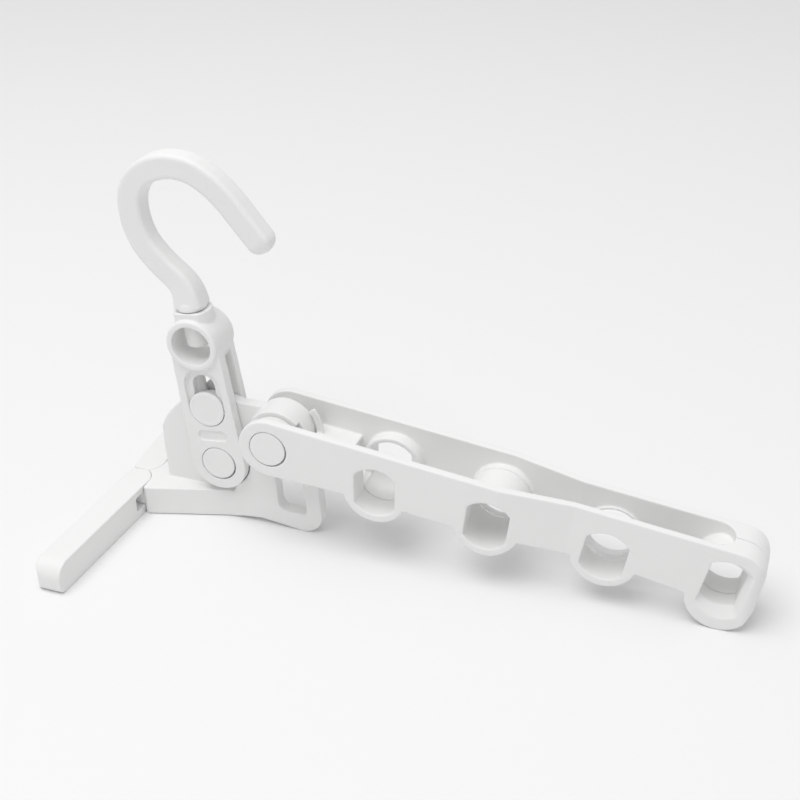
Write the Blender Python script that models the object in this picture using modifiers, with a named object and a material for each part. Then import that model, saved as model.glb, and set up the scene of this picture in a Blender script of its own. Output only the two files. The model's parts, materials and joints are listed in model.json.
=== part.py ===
# Five-hole clothes hanger: a swivelling hook on a tilting link, a folding arm with four openings,
# and a bracket that stands on two folding wings. Metres, +Z up, standing on z = 0.
# The arm and the hook lie in the plane y = 0, the front is -Y and the arm points to +X.

import math

import bmesh
import bpy
from mathutils import Matrix, Vector

MM = 0.001
FIT = 0.3 * MM

# Pivot places in the plane y = 0
ARM_PIVOT = Vector((-64.75, 0.0, 50.1)) * MM
ARM_SLOPE = math.radians(6.8)
LINK_PIVOT = ARM_PIVOT + Vector((-29.3, 0.0, -19.1)) * MM
LINK_LEAN = math.radians(7.15)
WING_PIVOT_X = LINK_PIVOT.x - 46.7 * MM
WING_PIVOT_Y = 8.2 * MM

# Arm, in its own frame: u runs along the arm and w across it, from the pivot
STRAP_OUT = 15.9 * MM
STRAP_IN = 12.2 * MM
TIP_OUT = 11.0 * MM
TIP_IN = 7.6 * MM
BEND_START = 103.0 * MM
BEND_END = 134.0 * MM
ARM_TOP = 13.8 * MM
ARM_UNDER = 11.2 * MM
HOLE_PITCH = 50.0 * MM
HOLE_DROPS = (5.8 * MM, 5.9 * MM, 7.0 * MM, 4.6 * MM)
HOLE_RADIUS = 11.6 * MM
HOLE_FLAT = 9.2 * MM
SOCKET_RADIUS = 12.8 * MM
SOCKET_DROP = 1.1 * MM
TIP_HOLE = 198.7 * MM
TIP_HOLE_RADIUS = 11.0 * MM
TIP_HOLE_FLAT = 7.4 * MM
FUNNEL_RADIUS = 16.4 * MM
FUNNEL_DEPTH = 2.9 * MM
FUNNEL_SPREAD = 1.2
FUNNEL_SHIFT = 1.2 * MM
LOBE_RADIUS = 14.4 * MM
LOBE_DROP = 0.8 * MM
TUBE_RADII = (13.8 * MM, 13.8 * MM, 12.8 * MM, 13.8 * MM)
ARM_END = 214.0 * MM
TIP_LOBE = Vector((199.4 * MM, -12.2 * MM))
TIP_LOBE_RADIUS = 14.35 * MM
VOID_END = 198.5 * MM
FIRST_COLLAR = -3.5 * MM
FIRST_RING = 6.5 * MM
TROUGH_LEVEL = -13.0 * MM
SECOND_TUBE = 8.6 * MM
THIRD_TUBE = 4.0 * MM
THIRD_RIM = 6.8 * MM
SHELF_TOP = 1.5 * MM
SHELF_THICK = 2.5 * MM
SHELF_END = 33.5 * MM
TAB_RADIUS = 17.7 * MM
TAB_TURN = 46.8
TAB_FRONT = 4.6 * MM
TAB_BACK = 6.4 * MM

# Knuckle, body plate and loop of the bracket
KNUCKLE_RADIUS = 13.7 * MM
KNUCKLE_HALF = 6.8 * MM
NOTCH_LEVEL = -3.8 * MM
BODY_HALF = 3.3 * MM
SECTOR_RADIUS = 32.3 * MM
FOOT_HEIGHT = 14.6 * MM
FOOT_ROOT_HALF = 14.2 * MM
FOOT_STEM_HALF = 3.5 * MM
FOOT_LENGTH = 38.0 * MM

# Link fork, hub and collar
FORK_FRONT = -6.8 * MM
FORK_REAR = 8.3 * MM
SLIT_FRONT = -1.4 * MM
SLIT_REAR = 4.5 * MM
SLIT_CLEAR = 1.0 * MM
FORK_FOOT_RADIUS = 13.2 * MM
FORK_TOP_RADIUS = 11.6 * MM
HUB_RISE = 60.1 * MM
HUB_RADIUS = 12.0 * MM
HUB_FRONT = -8.6 * MM
HUB_REAR = 10.2 * MM
HUB_BORE = 9.2 * MM
COLLAR_RADIUS = 8.6 * MM
COLLAR_FACE = -6.7 * MM
COLLAR_TOP = 14.6 * MM
PILL_RISE = 14.5 * MM
PILL_HALF = 7.2 * MM
PILL_RADIUS = 2.6 * MM
PILL_DEPTH = 1.0 * MM

FORK_FACES = (("front", -1, FORK_FRONT), ("rear", 1, FORK_REAR))

# Pivot pins and their flush caps
LINK_CAP_RADIUS = 8.1 * MM
LINK_PIN_RADIUS = 4.0 * MM
ARM_CAP_RADIUS = 8.4 * MM
ARM_PIN_RADIUS = 4.5 * MM
CAP_THICK = 1.5 * MM
WASHER_RADIUS = 9.4 * MM
FRONT_WASHER = 11.8 * MM

# Lock button, which slides in a recessed track of the fork
BUTTON_RADIUS = 8.3 * MM
BUTTON_RISE = 28.2 * MM
BUTTON_TRAVEL = 11.0 * MM
BUTTON_PROUD = 0.3 * MM
BUTTON_STEM = 5.0 * MM
STEM_SHORT = 2.0 * MM
TRACK_DEPTH = 1.8 * MM

# Hook: a bar that swivels on the collar
HOOK_HALF = 4.8 * MM
HOOK_WIDTH = 10.8 * MM
HOOK_CORNER = 1.9 * MM
HOOK_STEM_RADIUS = 6.7 * MM
HOOK_SPIGOT_RADIUS = 3.6 * MM
FOOT_SWELL = 0.24
SPIGOT_LOW = 4.0 * MM
NUB_RADIUS = 5.7 * MM
NUB_TOP = 10.2 * MM
NUB_BOTTOM = -2.3 * MM

# Wings
WING_WIDTH = 12.9 * MM
WING_BEHIND = 3.3 * MM
WING_HEIGHT = 14.6 * MM
WING_LENGTH = 71.5 * MM
WING_SPLAY = math.radians(3.5)
WING_END_TOP = 7.5 * MM
WING_END_FOOT = 3.6 * MM
WING_SLOT_LOW = 3.9 * MM
WING_SLOT_HIGH = 11.1 * MM
WING_SLOT_END = 11.0 * MM
TONGUE_RADIUS = 3.0 * MM
WING_PIN_RADIUS = 1.6 * MM

ROUND = 40
SMALL_ROUND = 28


def start():
    """Clear the scene and make the two collections."""
    for obj in list(bpy.data.objects):
        bpy.data.objects.remove(obj, do_unlink=True)
    parts = bpy.data.collections.new("five_hole_clothes_hanger")
    cutters = bpy.data.collections.new("cutters")
    for collection in (parts, cutters):
        bpy.context.scene.collection.children.link(collection)
    return parts, cutters


PARTS, CUTTERS = start()


def arc(centre, radius, start_angle, end_angle, count):
    """Points on an arc, angles in degrees, both ends included."""
    step = (end_angle - start_angle) / count
    angles = [math.radians(start_angle + step * i) for i in range(count + 1)]
    return [(centre[0] + radius * math.cos(a), centre[1] + radius * math.sin(a)) for a in angles]


def smooth_line(points, count):
    """Points on a Catmull-Rom curve through the given ones."""
    ends = [2 * points[0] - points[1]] + points + [2 * points[-1] - points[-2]]
    line = []
    for i in range(len(points) - 1):
        a, b, c, d = ends[i:i + 4]
        for k in range(count):
            t = k / count
            line.append(0.5 * (2 * b + (c - a) * t + (2 * a - 5 * b + 4 * c - d) * t * t
                               + (3 * b - a - 3 * c + d) * t ** 3))
    return line + [points[-1]]


def outline(name, loops, low, high, collection):
    """A flat outline, with any further loops as holes, filled between two levels along local Z."""
    curve = bpy.data.curves.new(name, "CURVE")
    curve.dimensions = "2D"
    curve.fill_mode = "BOTH"
    curve.extrude = (high - low) / 2
    for loop in loops:
        spline = curve.splines.new("POLY")
        spline.points.add(len(loop) - 1)
        for point, (x, y) in zip(spline.points, loop):
            point.co = (x, y, 0.0, 1.0)
        spline.use_cyclic_u = True
    flat = bpy.data.objects.new(name + "_curve", curve)
    bpy.context.scene.collection.objects.link(flat)
    bpy.context.view_layer.update()
    evaluated = flat.evaluated_get(bpy.context.evaluated_depsgraph_get())
    mesh = bpy.data.meshes.new_from_object(evaluated)
    bpy.data.objects.remove(flat, do_unlink=True)
    bm = bmesh.new()
    bm.from_mesh(mesh)
    bmesh.ops.remove_doubles(bm, verts=bm.verts, dist=1e-6)
    bmesh.ops.translate(bm, verts=bm.verts, vec=(0.0, 0.0, (low + high) / 2))
    bmesh.ops.recalc_face_normals(bm, faces=bm.faces)
    bm.to_mesh(mesh)
    bm.free()
    mesh.name = name
    obj = bpy.data.objects.new(name, mesh)
    collection.objects.link(obj)
    return obj


def stand_up(obj):
    """Turn an outline drawn in XY so that it stands in the XZ plane, its levels along Y."""
    obj.data.transform(Matrix.Rotation(math.pi / 2, 4, "X"))
    return obj


def upright(name, loops, front, back, collection):
    """An outline in (x, z), filled from y = front to y = back."""
    return stand_up(outline(name, loops, -back, -front, collection))


def cylinder(name, radius, low, high, axis, centre, collection, segments=ROUND):
    """A cylinder from a primitive, along Y or Z, with its mesh placed at the centre given."""
    bpy.ops.mesh.primitive_cylinder_add(vertices=segments, radius=radius, depth=high - low)
    obj = bpy.context.active_object
    obj.name = name
    turn = Matrix.Rotation(math.pi / 2, 4, "X") if axis == "Y" else Matrix.Identity(4)
    along = Vector((0.0, 1.0, 0.0)) if axis == "Y" else Vector((0.0, 0.0, 1.0))
    middle = Matrix.Translation(Vector(centre) + along * (low + high) / 2)
    obj.data.transform(middle @ turn)
    for owner in obj.users_collection:
        owner.objects.unlink(obj)
    collection.objects.link(obj)
    return obj


def turned(name, profile, collection):
    """A profile of (radius, height) points, top to bottom, turned about Z."""
    mesh = bpy.data.meshes.new(name)
    points = [(r, 0.0, h) for r, h in profile]
    mesh.from_pydata(points, [(i, i + 1) for i in range(len(points) - 1)], [])
    obj = bpy.data.objects.new(name, mesh)
    collection.objects.link(obj)
    screw = obj.modifiers.new("turn", "SCREW")
    screw.axis = "Z"
    screw.angle = 2 * math.pi
    screw.steps = SMALL_ROUND
    screw.render_steps = SMALL_ROUND
    screw.use_merge_vertices = True
    screw.merge_threshold = 0.00001
    return obj


def boolean(obj, cutter, operation):
    """Join, cut or keep the overlap with a hidden helper shape."""
    cutter.hide_render = True
    cutter.display_type = "WIRE"
    modifier = obj.modifiers.new(cutter.name, "BOOLEAN")
    modifier.operation = operation
    modifier.object = cutter
    modifier.solver = "EXACT"


def cut(obj, *cutters):
    for cutter in cutters:
        boolean(obj, cutter, "DIFFERENCE")


def join(obj, *helpers):
    for helper in helpers:
        boolean(obj, helper, "UNION")


def keep(obj, helper):
    boolean(obj, helper, "INTERSECT")


def soften(obj, width, segments=2, angle=40.0):
    """Round the sharp edges a little."""
    modifier = obj.modifiers.new("rounded_edges", "BEVEL")
    modifier.width = width
    modifier.segments = segments
    modifier.limit_method = "ANGLE"
    modifier.angle_limit = math.radians(angle)
    modifier.use_clamp_overlap = True
    return modifier


def place(obj, location, turn=0.0, helpers=()):
    """Put a piece, and the helpers that shape it, at a pivot, turned about Y."""
    for item in (obj, *helpers):
        item.location = location
        item.rotation_euler = (0.0, turn, 0.0)


def material(obj, name, colour, roughness):
    """A plastic of one colour."""
    plastic = bpy.data.materials.new(name)
    plastic.use_nodes = True
    shader = plastic.node_tree.nodes["Principled BSDF"]
    shader.inputs["Base Color"].default_value = (*colour, 1.0)
    shader.inputs["Roughness"].default_value = roughness
    shader.inputs["Metallic"].default_value = 0.0
    obj.data.materials.clear()
    obj.data.materials.append(plastic)


def lean_point(along, across=0.0):
    """A point on the leaning link, from the link pivot, as (x, z)."""
    sine = math.sin(LINK_LEAN)
    cosine = math.cos(LINK_LEAN)
    return (-sine * along + cosine * across, cosine * along + sine * across)


def slot(length_low, length_high, radius, count=24):
    """A round-ended slot along local Z, as (x, z) points."""
    top = arc((0.0, length_high), radius, 0, 180, count)
    bottom = arc((0.0, length_low), radius, 180, 360, count)
    return top + bottom


# Arm

def hole_outline(centre, radius, flat, lean=0.0, count=9):
    """A circle with two flats across the arm, at the given half width."""
    half = math.degrees(math.acos(flat / radius))
    loop = arc((0.0, 0.0), radius, half, 180 - half, count)
    loop += arc((0.0, 0.0), radius, 180 + half, 360 - half, count)
    turn = Matrix.Rotation(math.radians(lean), 2)
    return [(centre[0] + p.x, centre[1] + p.y) for p in (turn @ Vector(q) for q in loop)]


def arm_holes():
    """Centre and lean of the four openings, from the pivot out."""
    leans = (6.0, 0.0, -3.0, -6.0)
    along = (HOLE_PITCH, 2 * HOLE_PITCH, 3 * HOLE_PITCH, TIP_HOLE)
    centres = [(u, -drop) for u, drop in zip(along, HOLE_DROPS)]
    return list(zip(centres, leans))


def lobe(centre, radius, level):
    """The round lobe under an opening, from the lower edge down, between two levels of w."""
    low = math.degrees(math.asin((level - centre[1]) / radius))
    return arc(centre, radius, 180 - low, 360 + low, 16)


def arm_side():
    """The arm seen from the front, anticlockwise from its under edge at the pivot."""
    under = -ARM_UNDER
    side = []
    for (u, w), _ in arm_holes()[:3]:
        side += lobe((u, w - LOBE_DROP), LOBE_RADIUS, under)
    side += [(184.5 * MM, under - 1.5 * MM)]
    side += arc(TIP_LOBE, TIP_LOBE_RADIUS, 185, 325, 14)
    side += [(ARM_END - 0.6 * MM, -14.0 * MM)]
    side += arc((ARM_END - 11.0 * MM, 2.6 * MM), 11.0 * MM, 0, 90, 8)
    side += arc((0.0, 0.0), ARM_TOP, 90, 270, 20)
    return side


def strap_plan(side):
    """One half of the arm seen from above, its outer face towards side = -1 or +1."""
    seam = FIT / 2
    corner = 5.0 * MM
    nose = 7.0 * MM
    outer = [(-20 * MM, STRAP_OUT), (BEND_START, STRAP_OUT), (BEND_END, TIP_OUT)]
    outer += arc((ARM_END - corner, TIP_OUT - corner), corner, 90, 0, 8)
    inner = [(ARM_END, seam), (VOID_END, seam)]
    inner += arc((VOID_END - nose, TIP_IN - nose), nose, 0, 90, 10)
    inner += [(BEND_END, TIP_IN), (BEND_START, STRAP_IN), (-20 * MM, STRAP_IN)]
    return [(u, side * y) for u, y in outer + inner]


def tube(name, centre, radius, start, end):
    """A round wall about an opening, between two levels of y."""
    ring = [arc(centre, radius, 0, 350, 35)]
    return upright(name, ring, min(start, end), max(start, end), CUTTERS)


def trough(name, centre):
    """The lower wall of the first tube, which leaves room above it for the folded link."""
    radius = TUBE_RADII[0]
    half = math.degrees(math.asin((TROUGH_LEVEL - centre[1]) / radius))
    loop = arc(centre, radius, 180 - half, 360 + half, 14)
    return upright(name, [loop], FIRST_COLLAR + FIT, FIRST_RING + 1.0 * MM, CUTTERS)


def arm_half(name, side, tube_ends):
    """One moulded half of the arm. Each of its tubes runs from the strap to a level of y."""
    half = outline(name, [strap_plan(side)], -40 * MM, 20 * MM, PARTS)
    shape = upright(name + "_side", [arm_side()], -20 * MM, 20 * MM, CUTTERS)
    keep(half, shape)
    helpers = [shape]
    for i, ((centre, _), end) in enumerate(zip(arm_holes(), tube_ends)):
        wall = TIP_IN if i > 1 else STRAP_IN
        root = wall + 1.5 * MM
        ring = tube(f"{name}_tube_{i + 1}", centre, TUBE_RADII[i], side * root, end)
        join(half, ring)
        helpers.append(ring)
    return half, helpers


def funnel(name, centre, lean):
    """The last opening of the front half: its lower rim widens towards the front face."""
    bore = hole_outline((0.0, 0.0), TIP_HOLE_RADIUS, TIP_HOLE_FLAT, lean)
    wide = []
    for x, z in bore:
        below = min(1.0, max(0.0, -z / TIP_HOLE_FLAT))
        grow = FUNNEL_SPREAD + (FUNNEL_RADIUS / TIP_HOLE_RADIUS - FUNNEL_SPREAD) * below
        wide.append((x * FUNNEL_SPREAD + FUNNEL_SHIFT, z * grow))
    layers = [(-20 * MM, wide), (-TIP_OUT - 0.1 * MM, wide), (FUNNEL_DEPTH - TIP_OUT, bore), (20 * MM, bore)]
    bm = bmesh.new()
    rings = []
    for y, loop in layers:
        rings.append([bm.verts.new((centre[0] + x, y, centre[1] + z)) for x, z in loop])
    count = len(bore)
    for lower, upper in zip(rings, rings[1:]):
        for i in range(count):
            k = (i + 1) % count
            bm.faces.new((lower[i], lower[k], upper[k], upper[i]))
    bm.faces.new(rings[0])
    bm.faces.new(rings[-1])
    bmesh.ops.recalc_face_normals(bm, faces=bm.faces)
    mesh = bpy.data.meshes.new(name)
    bm.to_mesh(mesh)
    bm.free()
    shape = bpy.data.objects.new(name, mesh)
    CUTTERS.objects.link(shape)
    return shape


def opening(name, number, centre, lean, side):
    """The cutter of one opening. The rear half's second one takes the end of the front tube."""
    if number == 4 and side < 0:
        return funnel(name, centre, lean)
    radius, flat = HOLE_RADIUS, HOLE_FLAT
    if number == 2 and side > 0:
        radius, flat = SOCKET_RADIUS, HOLE_FLAT + SOCKET_RADIUS - HOLE_RADIUS
        centre = (centre[0], centre[1] - SOCKET_DROP)
    if number == 4:
        radius, flat = TIP_HOLE_RADIUS, TIP_HOLE_FLAT
    return upright(name, [hole_outline(centre, radius, flat, lean)], -20 * MM, 20 * MM, CUTTERS)


def finish_arm_half(half, helpers, side):
    """Cut the openings, the pin bore and the cap recess, then round the edges."""
    name = half.name
    for i, (centre, lean) in enumerate(arm_holes()):
        hole = opening(f"{name}_opening_{i + 1}", i + 1, centre, lean, side)
        cut(half, hole)
        helpers.append(hole)
    outer = sorted((side * (STRAP_OUT - CAP_THICK - FIT), side * 20 * MM))
    recess = cylinder(name + "_recess", ARM_CAP_RADIUS + FIT, *outer, "Y", (0, 0, 0), CUTTERS)
    bore = cylinder(name + "_bore", ARM_PIN_RADIUS + FIT, -20 * MM, 20 * MM, "Y", (0, 0, 0), CUTTERS)
    cut(half, recess, bore)
    helpers += [recess, bore]
    soften(half, 0.8 * MM, 1)
    place(half, ARM_PIVOT, ARM_SLOPE, helpers)


def shelf_and_tab():
    """The shelf between the straps and the tab that meets the knuckle, both of the rear half."""
    low = SHELF_TOP - SHELF_THICK
    clear = KNUCKLE_RADIUS + FIT
    shelf_loop = [(clear + 0.4 * MM, low), (SHELF_END, low), (SHELF_END, SHELF_TOP),
                  (clear + 0.4 * MM, SHELF_TOP)]
    front = -STRAP_IN + FIT
    shelf = upright("arm_shelf", [shelf_loop], front, STRAP_IN + 1.0 * MM, CUTTERS)
    tab_loop = arc((0.0, 0.0), clear + 0.5 * MM, -1.0, TAB_TURN, 8)
    tab_loop += arc((0.0, 0.0), TAB_RADIUS, TAB_TURN, -1.0, 8)
    tab = upright("arm_tab", [tab_loop], TAB_FRONT, TAB_BACK, CUTTERS)
    return shelf, tab


def make_arm():
    seam = FIT / 2
    front, front_helpers = arm_half("arm_front_half", -1, (FIRST_COLLAR, SECOND_TUBE, THIRD_TUBE, -seam))
    finish_arm_half(front, front_helpers, -1)
    socket_rim = SECOND_TUBE + FIT
    rear, rear_helpers = arm_half("arm_rear_half", 1, (FIRST_RING, socket_rim, THIRD_RIM, seam))
    lower_wall = trough("arm_trough", arm_holes()[0][0])
    shelf, tab = shelf_and_tab()
    join(rear, lower_wall, shelf, tab)
    finish_arm_half(rear, rear_helpers + [lower_wall, shelf, tab], 1)
    material(front, "arm_white_plastic_front", (0.83, 0.83, 0.82), 0.45)
    material(rear, "arm_white_plastic_rear", (0.83, 0.83, 0.82), 0.45)


def make_arm_pivot():
    end = STRAP_OUT - CAP_THICK - FIT - 0.1 * MM
    pin = cylinder("arm_pivot_pin", ARM_PIN_RADIUS, -end, end, "Y", (0, 0, 0), PARTS, SMALL_ROUND)
    material(pin, "pin_plastic_arm", (0.78, 0.78, 0.77), 0.4)
    pieces = [pin]
    for word, side, wide in (("front", -1, FRONT_WASHER), ("rear", 1, WASHER_RADIUS)):
        levels = sorted((side * (STRAP_OUT - CAP_THICK), side * STRAP_OUT))
        cap = cylinder(f"arm_pivot_cap_{word}", ARM_CAP_RADIUS, *levels, "Y", (0, 0, 0), PARTS)
        soften(cap, 0.3 * MM, 1)
        material(cap, f"cap_white_plastic_arm_{word}", (0.84, 0.84, 0.83), 0.42)
        levels = sorted((side * (KNUCKLE_HALF + FIT), side * (STRAP_IN - FIT)))
        washer = cylinder(f"arm_washer_{word}", wide, *levels, "Y", (0, 0, 0), PARTS)
        reach = 2 * STRAP_OUT
        bore = cylinder(f"arm_washer_{word}_bore", ARM_PIN_RADIUS + FIT, -reach, reach, "Y", (0, 0, 0),
                        CUTTERS)
        cut(washer, bore)
        material(washer, f"washer_plastic_{word}", (0.76, 0.76, 0.75), 0.5)
        pieces += [cap, washer, bore]
    for piece in pieces:
        place(piece, ARM_PIVOT, ARM_SLOPE)


# Bracket

def arm_point(u, w):
    """A point of the arm's frame in the bracket's (x, z), measured from the link pivot."""
    offset = ARM_PIVOT - LINK_PIVOT
    sine = math.sin(ARM_SLOPE)
    cosine = math.cos(ARM_SLOPE)
    return (offset.x + cosine * u + sine * w, offset.z - sine * u + cosine * w)


def sector_outline():
    """The thin upright plate that the fork straddles, round about the link pivot."""
    foot = FOOT_HEIGHT - LINK_PIVOT.z - 6 * MM
    loop = [(-29.2 * MM, foot), (-30.6 * MM, 3.5 * MM)]
    loop += arc((0.0, 0.0), SECTOR_RADIUS, 160, 72, 30)
    loop += [(29.3 * MM, 30.5 * MM), (29.3 * MM, 19.0 * MM), (20.0 * MM, foot)]
    return loop


def body_outline():
    """The thick lower plate, from the foot round the loop and up to the knuckle."""
    clear = FORK_FOOT_RADIUS + FIT + 0.2 * MM
    floor = -LINK_PIVOT.z
    loop = [(-30.0 * MM, floor + 0.5 * MM), (1.0 * MM, floor + 0.5 * MM), (9.0 * MM, floor + 1.5 * MM),
            (18.0 * MM, floor + 2.6 * MM)]
    loop += arc((38.5 * MM, floor + 9.5 * MM), 9.5 * MM, 262, 360, 12)
    loop += [(47.6 * MM, floor + 16.0 * MM), (46.8 * MM, floor + 26.0 * MM)]
    loop += [arm_point(21.0 * MM, -7.0 * MM), arm_point(21.0 * MM, SHELF_TOP - SHELF_THICK - FIT)]
    loop += [arm_point(0.0, SHELF_TOP - SHELF_THICK - FIT)]
    loop += [(16.2 * MM, 24.0 * MM)]
    loop += arc((0.0, 0.0), clear, 12, -60, 12)
    foot_top = floor + FOOT_HEIGHT - 1.0 * MM
    loop += [(4.0 * MM, foot_top), (-30.0 * MM, foot_top)]
    return loop


def loop_opening():
    """The rounded opening of the loop, narrower at its foot."""
    floor = -LINK_PIVOT.z
    loop = arc((31.4 * MM, floor + 13.9 * MM), 4.6 * MM, 180, 262, 8)
    loop += arc((38.5 * MM, floor + 11.4 * MM), 2.2 * MM, 270, 350, 5)
    loop += arc((36.4 * MM, floor + 30.0 * MM), 2.6 * MM, 0, 90, 5)
    loop += arc((29.0 * MM, floor + 29.6 * MM), 3.0 * MM, 90, 180, 5)
    return loop


def wing_pivot(side):
    """The hinge axis of a wing in (x, y), measured from the link pivot."""
    return (WING_PIVOT_X - LINK_PIVOT.x, side * WING_PIVOT_Y)


def foot_plan():
    """The foot seen from above, from the nose between the wings to the stem under the fork."""
    x, y = wing_pivot(-1)
    clear = WING_WIDTH - WING_BEHIND + FIT
    nose = math.degrees(math.asin(WING_PIVOT_Y / clear))
    root = x + clear
    tip = root + FOOT_LENGTH
    side = arc((x, y), clear, nose, 0, 10)
    side += [(root, -FOOT_ROOT_HALF + 1.0 * MM), (root + 1.2 * MM, -FOOT_ROOT_HALF)]
    side += [(tip, -FOOT_STEM_HALF), (tip + 6 * MM, 1.2 * MM - FOOT_STEM_HALF)]
    return side + [(px, -py) for px, py in reversed(side[1:])]


def tongue_plan(side):
    """The mid-height tongue that enters a wing, round about its hinge."""
    x, y = wing_pivot(-1)
    root = x + WING_WIDTH - WING_BEHIND + 5.3 * MM
    loop = [(root, -1.7 * MM), (x + 4.0 * MM, y + 4.4 * MM)]
    loop += arc((x, y), TONGUE_RADIUS, 70, 275, 12)
    loop += [(x + 4.0 * MM, y - 3.8 * MM), (x + 7.5 * MM, y - 4.7 * MM), (root, y - 4.2 * MM)]
    return [(px, -side * py) for px, py in loop]


def make_bracket():
    bracket = upright("bracket", [sector_outline()], SLIT_FRONT + FIT, SLIT_REAR - FIT, PARTS)
    body = upright("bracket_body", [body_outline(), loop_opening()], -BODY_HALF, BODY_HALF, CUTTERS)
    floor = -LINK_PIVOT.z
    foot = outline("bracket_foot", [foot_plan()], floor + 0.4 * MM, floor + FOOT_HEIGHT, CUTTERS)
    soften(foot, 1.0 * MM)
    offset = ARM_PIVOT - LINK_PIVOT
    knuckle = cylinder("bracket_knuckle", KNUCKLE_RADIUS, -KNUCKLE_HALF, KNUCKLE_HALF, "Y", offset, CUTTERS)
    join(bracket, body, foot, knuckle)
    notch_loop = arc((offset.x, offset.z), KNUCKLE_RADIUS + 2 * MM, 41, -25, 10)
    notch_loop += arc((offset.x, offset.z), WASHER_RADIUS + 0.5 * MM, -25, 41, 8)
    notch = upright("bracket_notch", [notch_loop], -KNUCKLE_HALF - 1 * MM, NOTCH_LEVEL, CUTTERS)
    cut(bracket, notch)
    helpers = [body, foot, knuckle, notch]
    for word, side in (("front", -1), ("rear", 1)):
        low = floor + WING_SLOT_LOW + FIT
        high = floor + WING_SLOT_HIGH - FIT
        tongue = outline(f"bracket_tongue_{word}", [tongue_plan(side)], low, high, CUTTERS)
        join(bracket, tongue)
        x, y = wing_pivot(side)
        bore = cylinder(f"bracket_wing_bore_{word}", WING_PIN_RADIUS + FIT, low - 4 * MM, high + 4 * MM, "Z",
                        (x, y, 0.0), CUTTERS, SMALL_ROUND)
        cut(bracket, bore)
        helpers += [tongue, bore]
    reach = 30 * MM
    arm_bore = cylinder("bracket_arm_bore", ARM_PIN_RADIUS + FIT, -reach, reach, "Y", offset, CUTTERS,
                        SMALL_ROUND)
    link_bore = cylinder("bracket_link_bore", LINK_PIN_RADIUS + FIT, -reach, reach, "Y", (0, 0, 0), CUTTERS,
                         SMALL_ROUND)
    cut(bracket, arm_bore, link_bore)
    helpers += [arm_bore, link_bore]
    place(bracket, LINK_PIVOT, 0.0, helpers)
    material(bracket, "bracket_white_plastic", (0.82, 0.82, 0.81), 0.45)


# Wings

def wing_plan(side):
    """A wing seen from above, from its hinge, pointing to -Y before it is mirrored."""
    back = -WING_BEHIND
    front = WING_WIDTH - WING_BEHIND
    end = -WING_LENGTH
    corner = 4.0 * MM
    inner = 1.5 * MM
    seam = WING_PIVOT_Y - FIT / 2
    loop = [(back, seam - 1.0 * MM)]
    loop += arc((back + corner, end + corner), corner, 180, 270, 8)
    loop += arc((front - inner, end + inner), inner, 270, 360, 4)
    loop += [(front, -1.0 * MM)]
    turn = Matrix.Rotation(-WING_SPLAY, 2)
    loop = [tuple(turn @ Vector(p)) for p in loop]
    nose = math.degrees(math.asin(seam / front))
    loop += arc((0.0, 0.0), front, 0, nose, 8)
    loop += arc((0.0, 0.0), seam, 90, 106, 3)
    return [(x, -side * y) for x, y in loop]


def wing_end(side):
    """A wing seen along X, its outer end rounded above and a little below, as (y, z) points."""
    wide = 2 * WING_WIDTH
    end = -WING_LENGTH * math.cos(WING_SPLAY)
    above = WING_HEIGHT + 1.0 * MM
    loop = [(wide, above), (end + WING_END_TOP, above)]
    loop += arc((end + WING_END_TOP, WING_HEIGHT - WING_END_TOP), WING_END_TOP, 90, 180, 8)
    loop += arc((end + WING_END_FOOT, WING_END_FOOT), WING_END_FOOT, 180, 270, 4)
    loop += [(end + WING_END_FOOT, -1.0 * MM), (wide, -1.0 * MM)]
    return [(-side * y, z) for y, z in loop]


def make_wing(word, side):
    wing = outline(f"{word}_wing", [wing_plan(side)], 0.0, WING_HEIGHT, PARTS)
    soften(wing, 1.3 * MM, 3)
    wide = 2 * WING_WIDTH
    rounding = upright(f"{word}_wing_rounding", [wing_end(side)], -wide, wide, CUTTERS)
    rounding.data.transform(Matrix.Rotation(math.pi / 2, 4, "Z"))
    keep(wing, rounding)
    slot_loop = [(-wide, -side * wide), (wide, -side * wide), (wide, side * WING_SLOT_END),
                 (-wide, side * WING_SLOT_END)]
    gap = outline(f"{word}_wing_slot", [slot_loop], WING_SLOT_LOW, WING_SLOT_HIGH, CUTTERS)
    low = WING_SLOT_LOW - 2.2 * MM
    high = WING_SLOT_HIGH + 2.0 * MM
    bore = cylinder(f"{word}_wing_bore", WING_PIN_RADIUS + FIT, low, high, "Z", (0, 0, 0), CUTTERS,
                    SMALL_ROUND)
    cut(wing, gap, bore)
    pin = cylinder(f"{word}_wing_pin", WING_PIN_RADIUS, low + FIT, high - FIT, "Z", (0, 0, 0), PARTS,
                   SMALL_ROUND)
    for item in (wing, rounding, gap, bore, pin):
        item.location = (WING_PIVOT_X, side * WING_PIVOT_Y, 0.0)
    material(wing, f"wing_white_plastic_{word}", (0.83, 0.83, 0.82), 0.45)
    material(pin, f"wing_pin_plastic_{word}", (0.75, 0.75, 0.74), 0.4)


# Link

def fork_side():
    """The fork seen from the front, along its own axis: two rounds and their tangents."""
    spread = math.degrees(math.asin((FORK_FOOT_RADIUS - FORK_TOP_RADIUS) / HUB_RISE))
    loop = arc((0.0, HUB_RISE), FORK_TOP_RADIUS, spread, 180 - spread, 30)
    loop += arc((0.0, 0.0), FORK_FOOT_RADIUS, 180 - spread, 360 + spread, 36)
    return loop


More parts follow.
